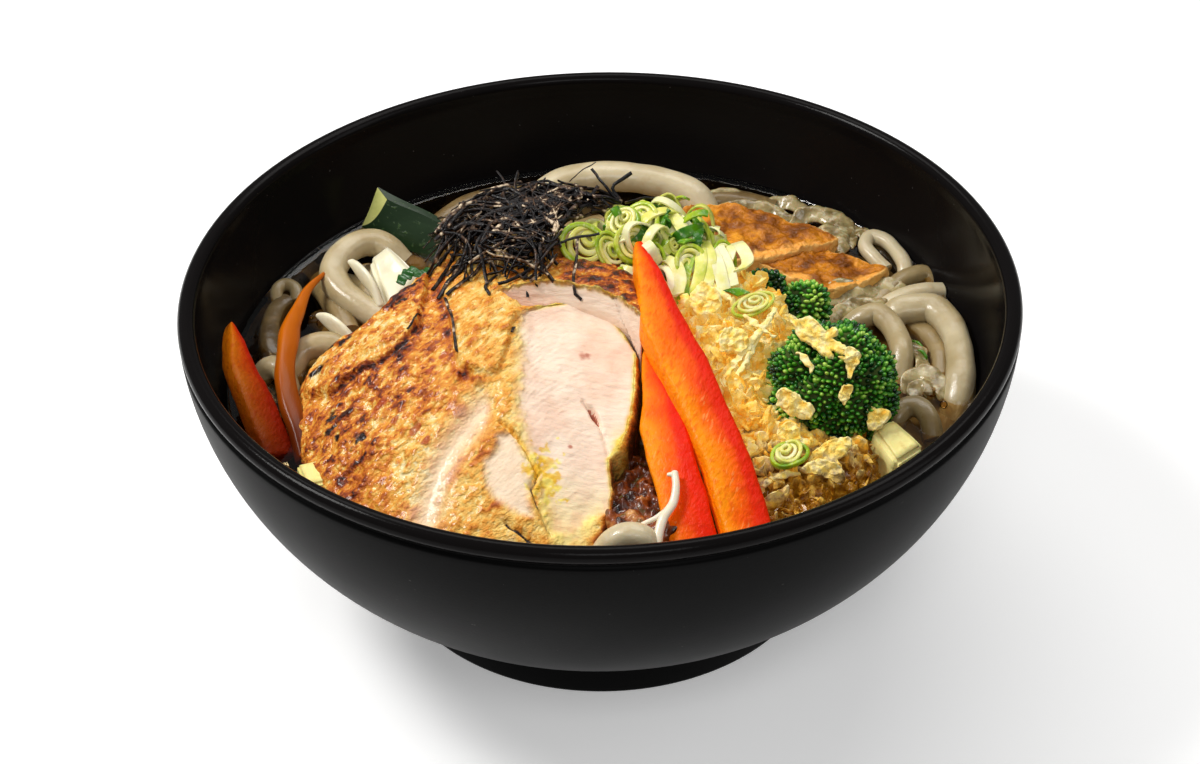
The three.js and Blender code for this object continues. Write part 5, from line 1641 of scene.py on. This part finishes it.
def soaked_top(x, y):
    """The lumpy top of the soaked crumbs."""
    return 62 + 0.7 * np.sin(1.3 * x) * np.cos(0.9 * y) - 0.05 * (y + 50)


def soaked_finish(g):
    mottle = g.noise(0.0040, 4)
    green = g.step(g.noise(0.003, 2, seed=6.0), 0.62, 0.68)
    brown = g.ramp(
        mottle,
        (0.3, (22, 9, 6)), (0.44, (84, 34, 12)), (0.58, (154, 76, 26)), (0.75, (226, 170, 100)),
    )
    return {
        "Base Color": g.blend(green * 0.6, brown, (84, 84, 34)),
        "Roughness": 0.2 + 0.2 * mottle,
        **wet(0.2, 0.1),
        "Normal": g.bump(mottle, 0.0010, 0.8),
    }


points, faces, side = cushion(
    [(2, -48), (8, -40), (15, -46), (17, -58), (16, -69), (8, -70), (1, -66), (0, -56)],
    (8, -57), 160, 50, soaked_top, lambda x, y: 53 + 0 * x, 1.0, 0.1,
)
points[:, 2] += 1.8 * rough(points[:, 0], points[:, 1], 4.0, 3, 41.0)
soaked = solid("soaked_bits", points, faces, finish("soaked_crumb", soaked_finish))
settle(soaked, "soaked_crumbs", "soaked_crumbs")

# ---------------------------------------------------------------- spring onion
# Spring onion sliced thin across and on the slant. A slice is a nest of thin layers, lime at the skin and
# nearly white inside. Many have come apart into single rings and loops. Two slices fell beside the heap.

LAYERS = [(1.0, 0.52), (0.76, 0.26), (0.51, 0.14),
          (0.26, 0.3)]  # each one's share of the radius, and its tint
RING_POINTS = 26
LOOSE_RINGS = 60
RING_CEILING = 89.0  # no loose ring stands higher


def onion_top(x, y):
    """The top of the heap of slices."""
    away = np.hypot((x - 13) / 24, (y - 20) / 17)
    return 85.5 - 9 * away * away - 0.12 * np.maximum(0, x - 18)


def ring_line(draw, place, radius, axis, stretch=1.0, turn=0.0, sweep=1.0):
    """One ring, bent a little out of round and out of flat. stretch is the slant of the cut."""
    side = axis.orthogonal().normalized()
    side.rotate(Matrix.Rotation(turn, 3, axis))
    other = axis.cross(side)
    wobble, warp, phase = draw.uniform(0, 0.14), draw.uniform(0, 0.16), draw.uniform(0, 6.28)
    count = RING_POINTS if sweep == 1 else round(RING_POINTS * sweep) + 1
    line = []
    for k in range(count):
        angle = 2 * pi * sweep * k / (count if sweep == 1 else count - 1)
        reach = radius * (1 + wobble * sin(2 * angle + phase))
        rise = radius * warp * sin(2 * angle + 1.7 * phase)
        across = side * (reach * stretch * cos(angle)) + other * (reach * sin(angle))
        line.append(Vector(place) + across + axis * rise)
    return line


def slice_lines(draw, place, radius, lean, stretch, turn):
    """A whole slice: its layers one inside another, each as (line, closed, axis, tint, girth). Its axis leans
    from upright."""
    lines = []
    axis = Vector((*lean, 1)).normalized()
    slipped = axis.orthogonal()
    slipped.rotate(Matrix.Rotation(draw.uniform(0, 6.28), 3, axis))
    for share, tint in LAYERS:
        middle = Vector(place) + axis * draw.uniform(-0.35, 0.35) + slipped * (radius * 0.42 * (1 - share))
        ring = ring_line(draw, middle, radius * share, axis, stretch, turn)
        lines.append((ring, True, axis, tint + draw.uniform(-0.1, 0.1), radius * 0.26))
    return lines


def ring_steps(g, given):
    """Thin walls swept along rings and loops, upright along each one's axis."""
    line = g.node("GeometryNodeMeshToCurve", {}, {"Mesh": given["Geometry"]})
    axis = g.kept("axis", "FLOAT_VECTOR")
    line = g.node("GeometryNodeSetCurveNormal", {"mode": "FREE"}, {"Curve": line, "Normal": axis})
    rings = ribbon(g, line, given["Height"], given["Wall"], g.kept("girth"), given["Wall"] * 0.22)
    return dressed(g, rings, given)


def onion_finish(g):
    tint = g.mark("tint")
    cloud = g.noise(0.004, 3)
    vein = g.noise(0.0008, 2, stretch=(1, 1, 0.3))
    colour = g.ramp(
        tint + (cloud - 0.5) * 0.7,
        (0.05, (252, 248, 194)), (0.3, (232, 228, 112)), (0.55, (172, 196, 32)),
        (0.78, (92, 150, 12)), (1.0, (40, 104, 8)),
    )
    return {
        "Base Color": g.blend(g.step(vein, 0.55, 0.7) * 0.25, colour, (250, 250, 206)),
        "Roughness": 0.24 + 0.12 * vein,
        **soft(0.2, 0.0015, (0.7, 1.0, 0.3)),
        **wet(0.12, 0.08, 0.35),
        "Normal": g.bump(vein, 0.0002, 0.5),
    }


onion_material = finish("spring_onion", onion_finish)


def onion_piece(name, rings, wall, height, *nodes):
    """Rings, each a (line, closed, axis, tint, girth), made with walls of that thickness and height."""
    lines, closed, axes, tints, girths = zip(*rings)
    seed_mesh = line_mesh(name + "_lines", lines, {"axis": axes, "tint": tints, "girth": girths}, closed)
    sizes = {"Wall": wall * MM, "Height": height * MM, "Material": onion_material}
    settle(grown(name, seed_mesh, sizes, ring_steps), "spring_onion", *nodes)


draw = random.Random(17)
# Each slice's middle, radius, lean, slant and the way the slant runs.
HEAP_SLICES = [
    ((-3.2, 12.0, 84.2), 5.4, (0.15, -1.1), 1.0, 0.0),
    ((3.7, 10.2, 82.6), 3.4, (0.3, -1.0), 1.7, 1.2),
    ((10.2, 19.8, 85.2), 4.4, (-0.3, -0.5), 1.3, 0.4),
    ((8.1, 12.4, 84.4), 4.0, (0.4, -0.8), 1.2, 0.9),
    ((19.4, 12.9, 83.4), 2.5, (0.1, -0.5), 1.0, 0.0),
    ((13.9, 22.1, 85.5), 3.2, (0.3, -0.3), 1.2, 2.0),
    ((21.8, 7.4, 81.6), 3.6, (0.5, -0.7), 1.4, 0.5),
    ((30.4, 11.4, 80.6), 3.0, (0.6, -0.5), 1.4, 1.0),
    ((6.0, 20.0, 85.5), 3.6, (-0.4, -0.6), 1.2, 0.3),
    ((24.6, 15.0, 82.6), 3.2, (0.2, -0.6), 1.3, 0.8),
    ((12.6, 9.2, 83.2), 3.0, (-0.2, -0.9), 1.3, 1.4),
]
heap_lines = []
for heap_slice in HEAP_SLICES:
    heap_lines += slice_lines(draw, *heap_slice)
loose_lines = []
while len(loose_lines) < LOOSE_RINGS:
    away, turn = sqrt(draw.random()), draw.uniform(0, 2 * pi)
    x, y = 13 + 19 * away * cos(turn), 16 + 11 * away * sin(turn)
    z = float(onion_top(x, y)) + draw.uniform(-3.4, 0.4)
    if standing.find_nearest(Vector((x, y, z)))[3] < 2.0:
        continue
    axis = Vector((draw.gauss(0, 1), draw.gauss(0, 1), draw.gauss(0, 0.8))).normalized()
    radius, slant = draw.uniform(1.8, 4.2), draw.uniform(1.0, 2.0)
    sweep = draw.choice((1, 1, 0.7, 0.5))
    ring = ring_line(draw, (x, y, z), radius, axis, slant, draw.uniform(0, 6.28), sweep)
    over = Vector((0, 0, max(0, max(p.z for p in ring) - RING_CEILING)))
    ring = [p - over for p in ring]
    loose_lines.append((ring, sweep == 1, axis, draw.random() ** 1.1, draw.uniform(0.8, 1.2)))
# Long curled layers on the right, each an open line with its axis and tint.
CURLS = [
    ([(30.8, 7.7, 81.9), (33.1, 14.3, 82.9), (34.6, 12.1, 82.9), (35.8, 7.4, 82), (33.7, 4.2, 81.9)], 0.15),
    ([(16.6, 24.6, 85.2), (19.6, 21.6, 85.6), (22.8, 15.8, 84.2), (23.6, 11.4, 82.6)], 0.1),
    ([(13.6, 25.4, 86.2), (17.6, 21.6, 86.8), (20.8, 16, 85.4), (21.4, 12.4, 84)], 0.2),
    ([(14.4, 6.8, 81.6), (16.8, 5.4, 82), (17.8, 0.6, 80.8), (17.2, -3, 79.4)], 0.05),
    ([(15.8, 8.6, 82.8), (18.2, 6.2, 82.8), (19.4, 1.4, 81.2), (18.6, -2.6, 79.8)], 0.2),
    ([(24.2, 13.8, 83.2), (24.6, 7.4, 82.4), (23.6, 2, 80.6), (22.2, -1.2, 79)], 0.35),
    ([(25.4, 14.4, 83.2), (26.8, 8.4, 82.6), (26.2, 2, 80.6), (24.6, -2.2, 78.8)], 0.25),
    ([(22.6, 13, 83.2), (21.4, 7, 82), (20.2, 2.2, 80.4), (19.8, -3.4, 78.2)], 0.6),
    ([(28.8, 12.8, 82.8), (30.2, 8.2, 82.4), (31.4, 3.4, 81), (31.8, 0.4, 79.8)], 0.1),
    ([(27.2, 12.4, 82.6), (28.4, 7.2, 82.4), (29.2, 2.6, 81), (29.8, -0.6, 79.4)], 0.05),
    ([(28.6, -0.8, 79.2), (31.6, -0.4, 79.4), (34.4, -1.6, 78.8)], 0.75),
]
curl_axis = Vector((1, 0.25, 0.15)).normalized()
curl_lines = [(smooth_line(path, 16), False, curl_axis, tint, 1.0) for path, tint in CURLS]
onion_piece("onion_slices", heap_lines, 1.0, 1.5, "spring_onion_heap")
onion_piece("onion_rings_loose", loose_lines, 0.6, 2.6, "spring_onion_heap")
onion_piece("onion_curls", curl_lines, 0.6, 3.2, "spring_onion_heap")
FALLEN_SLICES = {
    "back": ((36.4, -5.0, 78.3), 2.7, (0.15, -0.45), 1.9, 2.8),
    "front": ((42.5, -49.0, 67.4), 3.4, (0.15, -0.1), 1.35, 0.2),
}
for name, fallen_slice in FALLEN_SLICES.items():
    lines = slice_lines(draw, *fallen_slice)
    onion_piece("onion_slice_" + name, lines, 1.0, 1.3, "spring_onion_slice_" + name)
# Scraps of green skin that float by the wall.
SCRAPS = [
    [(76.6, 7.6, 57.0), (77.8, 6, 57.7), (79, 3.8, 57.2)],
    [(77.2, 3.4, 57.1), (78.6, 2.4, 57.6), (79.4, 0.8, 57)],
    [(83.6, -12, 56.6), (84.8, -14.4, 57)],
    [(82.4, 14.4, 57.6), (83.4, 12.6, 57.4)],
]
scrap_lines = [(smooth_line(path, 8), False, Vector((0, 0.2, 1)), 0.9, 1.0) for path in SCRAPS]
onion_piece("onion_scraps", scrap_lines, 0.5, 1.2)

# ---------------------------------------------------------------- shredded seaweed
# Toasted seaweed cut into thin stiff shreds, near black with pale glints painted into its colour, tossed in a
# loose tangle on top.
# Some stand out of it, some hang over the chicken, and a few bits have fallen on it.

SEAWEED_SHREDS = 420
SHRED_WIDTH = 0.85
SHRED_THICKNESS = 0.28
SHRED_CEILING = 89.7  # no shred of the tangle stands higher
BESIDE_CHICKEN = 70.0  # the height of what lies under the shreds where there is no chicken


def seaweed_top(x, y):
    """The top of the tangle."""
    away = np.hypot((x + 14) / 24, (y - 18) / 19)
    return 90.2 - 4.5 * away**4


chicken_tree = tree_of(*chicken.values())


def seat_height(x, y):
    """The height of the chicken's top at a place seen from above, or of what lies beside it."""
    hit = chicken_tree.ray_cast(Vector((x, y, 200)), Vector((0, 0, -1)))[0]
    return BESIDE_CHICKEN if hit is None else hit.z


def shred_line(draw):
    """A shred that lies in the tangle, bent once or twice like a creased strip."""
    turn, away = draw.uniform(0, 2 * pi), draw.random() ** 0.65
    x, y = -13.5 + 24 * away * cos(turn), 18.5 + 18 * away * sin(turn)
    heading, length = draw.gauss(0.9, 1.2), draw.uniform(6, 17)
    bend = draw.uniform(-0.6, 0.6)
    lift, slope = draw.uniform(-4.2, 1.2), draw.uniform(-0.22, 0.22)
    line = []
    for s in (-0.5, -0.2, 0.12, 0.5):
        px = x + length * s * cos(heading + bend * s)
        py = y + length * s * sin(heading + bend * s)
        seat = seat_height(px, py) + 0.5
        height = float(seaweed_top(px, py)) + lift + slope * length * s + draw.uniform(-0.8, 0.8)
        line.append((px, py, min(max(height, seat), SHRED_CEILING)))
    return line


def shred_steps(g, given):
    """Thin strips swept along their lines, each tilted its own way, then creased."""
    line = g.node("GeometryNodeMeshToCurve", {}, {"Mesh": given["Geometry"]})
    line = g.node("GeometryNodeSetCurveTilt", {}, {"Curve": line, "Tilt": g.kept("tilt")})
    shreds = ribbon(g, line, given["Width"], given["Thickness"], g.kept("girth"))
    return shaken(g, shreds, 260.0, given["Creases"], given)


def seaweed_finish(g):
    painted_glint = g.noise(0.0024, 2)
    # Cream glints in the base colour: painted highlights.
    colour = g.ramp(
        painted_glint + g.mark("tint") * 0.22,
        (0.48, (5, 2, 4)), (0.62, (28, 17, 14)), (0.73, (96, 68, 46)), (0.81, (228, 206, 174)),
    )
    return {
        "Base Color": colour,
        "Roughness": 0.22 + 0.3 * painted_glint,
        "Specular IOR Level": 0.35,
        "Normal": g.bump(g.noise(0.0006, 2), 0.0003, 0.8),
    }


STANDING_SHREDS = [
    [(-19.5, 37.4, 89.8), (-20, 33.4, 88.9), (-19, 29.2, 86.9)],
    [(-6.9, 35.5, 87.9), (-3.4, 38.8, 89.3), (-0.2, 41.4, 89.8)],
    [(-1.4, 38.3, 89.8), (1.4, 33.6, 88.6), (4.8, 30.3, 85.9)],
    [(8.6, 35.8, 89.9), (3.9, 33.2, 87.6), (5.5, 31, 85.5)],
    [(-5.4, 31.8, 89.6), (-2.8, 28.7, 88.3), (-0.4, 27.2, 86.9)],
    [(6.9, 26, 87.5), (11.6, 27.2, 88.1), (16, 26.7, 88)],
    [(-24.7, 38.3, 89.7), (-22.7, 34.6, 88.5), (-19.8, 30.4, 87.4)],
    [(-12.8, 34.5, 89.8), (-15, 30.8, 88.7), (-18.3, 29.8, 87.4)],
    [(-12.8, 7.4, 87.5), (-6.3, 9.1, 88.6), (0.4, 10.9, 88.6)],
    [(-22.9, 5.5, 84.8), (-19.8, 1.4, 84.3), (-17.1, -1.8, 84.6), (-13.8, 2.8, 84.9)],
    [(-16.6, 9.7, 88.1), (-13.8, 2.9, 86.3), (-11, -2.7, 84.4)],
    [(-4.9, 11.3, 87.9), (-5.2, 4.6, 86.9), (-6, -1.9, 84.8), (-5.8, -5.1, 82.2), (-4.1, -5.9, 81.4)],
    [(-9.9, 4.9, 86.9), (-12.8, 0.6, 85.5), (-16.4, -2.6, 84.4)],
]
# These lie on the chicken, so only their way over it is given.
HANGING_SHREDS = [
    [(-33.5, 22.2), (-37, 9.5), (-39.9, 2.3)],
    [(-27.4, 16.7), (-33, 6.7), (-38.5, -1.3)],
    [(-25.5, 10.1), (-31.4, 1.6), (-36.3, -3.5)],
    [(-31.9, 30.2), (-35.7, 21.5), (-38.8, 13.6)],
    [(-33, 25.5), (-37.2, 18.5), (-39.9, 12.3), (-41.2, 8.5)],
    [(-29.1, 20.5), (-33.2, 11.7), (-35.3, 5)],
    [(-30, 13), (-34, 7), (-36.5, 1.5)],
    [(-27, 20), (-31, 15), (-36.6, 5.5)],
    [(-36.8, -3.6), (-35.1, -10.3), (-34, -17.6), (-33.2, -23.7)],
    [(-42.5, -6.4), (-43.8, -9.4), (-45.4, -12.3)],
    [(-20, -17), (-20.7, -18.6)],
    [(-24.5, 2), (-27, -3), (-26, -6)],
]
draw = random.Random(9)
shreds = []
while len(shreds) < SEAWEED_SHREDS:
    path = shred_line(draw)
    if all(x < 0.35 * y - 11 or y > 24 for x, y, z in path):
        shreds.append(smooth_line(path, 9))
shreds += [smooth_line(path, 10) for path in STANDING_SHREDS]
any_tilt = [draw.uniform(0, pi) for _ in shreds]
for path in HANGING_SHREDS:
    line = smooth_line([(x, y, 0) for x, y in path], 12)
    for p in line:
        p[2] = seat_height(p[0], p[1]) + 0.45
    shreds.append(line)
shred_marks = {
    "tilt": any_tilt + [draw.uniform(-0.4, 0.4) for _ in HANGING_SHREDS],
    "girth": [draw.uniform(0.5, 1.25) for _ in shreds],
    "tint": [draw.random() ** 2 for _ in shreds],
}
seaweed = grown(
    "seaweed_tangle",
    line_mesh("seaweed_lines", shreds, shred_marks),
    {
        "Width": SHRED_WIDTH * MM, "Thickness": SHRED_THICKNESS * MM, "Creases": 1.1 * MM,
        "Material": finish("toasted_seaweed", seaweed_finish),
    },
    shred_steps,
)
settle(seaweed, "seaweed", "seaweed_shreds")

# ---------------------------------------------------------------- onion slices and bean sprout
# Limp see-through onion slices that float by the wall, with froth bubbles between them, and one white sprout
# that forks where it hangs over the front.


def limp_finish(g):
    cloud = g.noise(0.004, 3)
    vein = g.noise(0.0016, 2, stretch=(1, 1, 0.4), seed=2.0)
    pale = g.blend(g.step(cloud, 0.35, 0.65), (120, 101, 58), (180, 162, 112))
    return {
        "Base Color": g.blend(g.step(vein, 0.5, 0.7) * 0.6, pale, (222, 208, 170)),
        "Roughness": 0.2 + 0.12 * cloud,
        **soft(0.3, 0.002),
        **wet(0.3, 0.05),
        "Normal": g.bump(cloud, 0.0008, 0.7),
    }


limp_material = finish("limp_onion", limp_finish)
# Each slice's parts: a line, and the greatest half width of the wavy film along it.
ONION_SLICES = [
    [([(24, 74.5, 55.6), (31, 75, 57), (39.8, 73.6, 57), (48, 70.2, 55.6)], 2.2),
     ([(30, 70.5, 56), (38, 69.4, 57.6), (46, 67.4, 57), (52, 64, 55.8)], 2.0),
     ([(44, 72.6, 55.8), (51, 70.6, 57.2), (57, 66.7, 55.8)], 1.6)],
    [([(50, 61, 56), (55, 64.4, 57.8), (60.4, 63.2, 58.2), (64.6, 58.4, 57.4), (65.9, 51.5, 55.6)], 2.4),
     ([(57, 60, 56.2), (61, 56.5, 57.8), (63, 51.5, 57.6), (62, 47, 56)], 2.0),
     ([(64, 60.4, 55.8), (68.4, 56.6, 57), (70, 52, 55.8)], 1.5)],
    [([(54.6, 23.1, 57.2), (58.8, 26.6, 59), (64.9, 27.8, 58.9), (70, 28.6, 57)], 2.8),
     ([(57, 18.6, 56.6), (62.1, 20.6, 58.6), (68, 21.6, 58), (74, 24.2, 56.4)], 2.6),
     ([(66, 31.8, 56.4), (71.1, 30.2, 58), (77, 31, 57)], 2.2),
     ([(73, -11.2, 55.8), (76.6, -7, 57.6), (80.6, -8.8, 57.7), (81.4, -14.4, 55.6)], 2.6),
     ([(74.4, -14.4, 55.8), (77, -11.6, 57.4), (79.4, -13, 57.2)], 2.4),
     ([(76.4, 10.4, 55.8), (77.9, 5, 56.9), (78.2, -0.4, 56.8), (77.4, -5, 55.6)], 1.6)],
]
for number, parts in enumerate(ONION_SLICES, 1):
    films = []
    for path, width in parts:
        points, faces, _ = swept(
            path, 40, 22, lambda t: (0.5 + width * sin(pi * t) ** 0.6, 0.55), (0.3, -0.5, 1), 0.7
        )
        films.append((roughened(roughened(points, 4, 1.0, seed=len(films)), 1.6, 0.15), faces))
    piece = solid("limp_onion_%d" % number, *joined(films), limp_material)
    settle(piece, "onion", "onion_slice_%d" % number)

# Froth bubbles on the broth: where each lies, and its radius.
BUBBLES = [
    (66.6, 65.0, 1.0), (69.0, 62.4, 1.3), (71.4, 59.6, 0.9), (73.2, 57.1, 0.6), (67.9, 60.4, 0.6),
    (84.8, 36.4, 1.0), (86.4, 34.6, 0.6), (87.1, 25.3, 1.2), (88.4, 22.8, 0.8), (89.0, 19.8, 1.2),
    (88.6, 16.6, 0.7), (79.4, -12, 1.3), (76.6, -14.2, 0.9), (81.6, -17, 1.0), (78.6, -8.4, 0.7),
    (-70, 22, 0.9), (-72.4, 24.8, 0.6), (-30, 79, 0.8),
]
froth = []
for x, y, radius in BUBBLES:
    arc = [(radius * cos(a), radius * sin(a)) for a in np.linspace(-1.2, 1.2, 9)]
    points, faces = turned([(0, -radius), *arc, (0, radius)], 16)
    froth.append((np.array(points) + (x, y, BROTH_LEVEL + 0.3 * radius), faces))
bubbles = solid("broth_bubbles", *joined(froth), broth.data.materials[0])
settle(bubbles, "broth", "broth")


def sprout_finish(g):
    cloud = g.noise(0.003, 2)
    return {
        "Base Color": g.blend(cloud, (255, 246, 226), (240, 214, 178)),
        "Roughness": 0.22 + 0.1 * cloud,
        **soft(0.15, 0.001),
        **wet(0.1, 0.1),
    }


# The stem, its fork and its curled tip: a line, then half its width and thickness at share t along it.
SPROUT_PARTS = [
    (
        [(16, -57.4, 69.4), (16.2, -61, 68.2), (15.4, -64.6, 66.4), (13.2, -67.8, 65), (12, -71.4, 63),
         (11.6, -75, 60.4)],
        lambda t: (1.0 - 0.15 * cos(5 * t), 0.85),
    ),
    (
        [(14.6, -65.4, 65.6), (11.4, -67.8, 64.8), (8.8, -68.8, 64.2), (7, -69.4, 63.4)],
        lambda t: (0.8 - 0.3 * t, 0.7 - 0.3 * t),
    ),
    (
        [(16.2, -58.4, 69.1), (15.2, -57.9, 69.3), (14.6, -57.8, 69.2)],
        lambda t: (0.75 - 0.2 * t, 0.6 - 0.2 * t),
    ),
]
parts = [swept(path, 36, 14, size, (0, 0, 1)) for path, size in SPROUT_PARTS]
sprout = solid("sprout", *joined(parts), finish("white_sprout", sprout_finish))
settle(sprout, "bean_sprout", "bean_sprout")
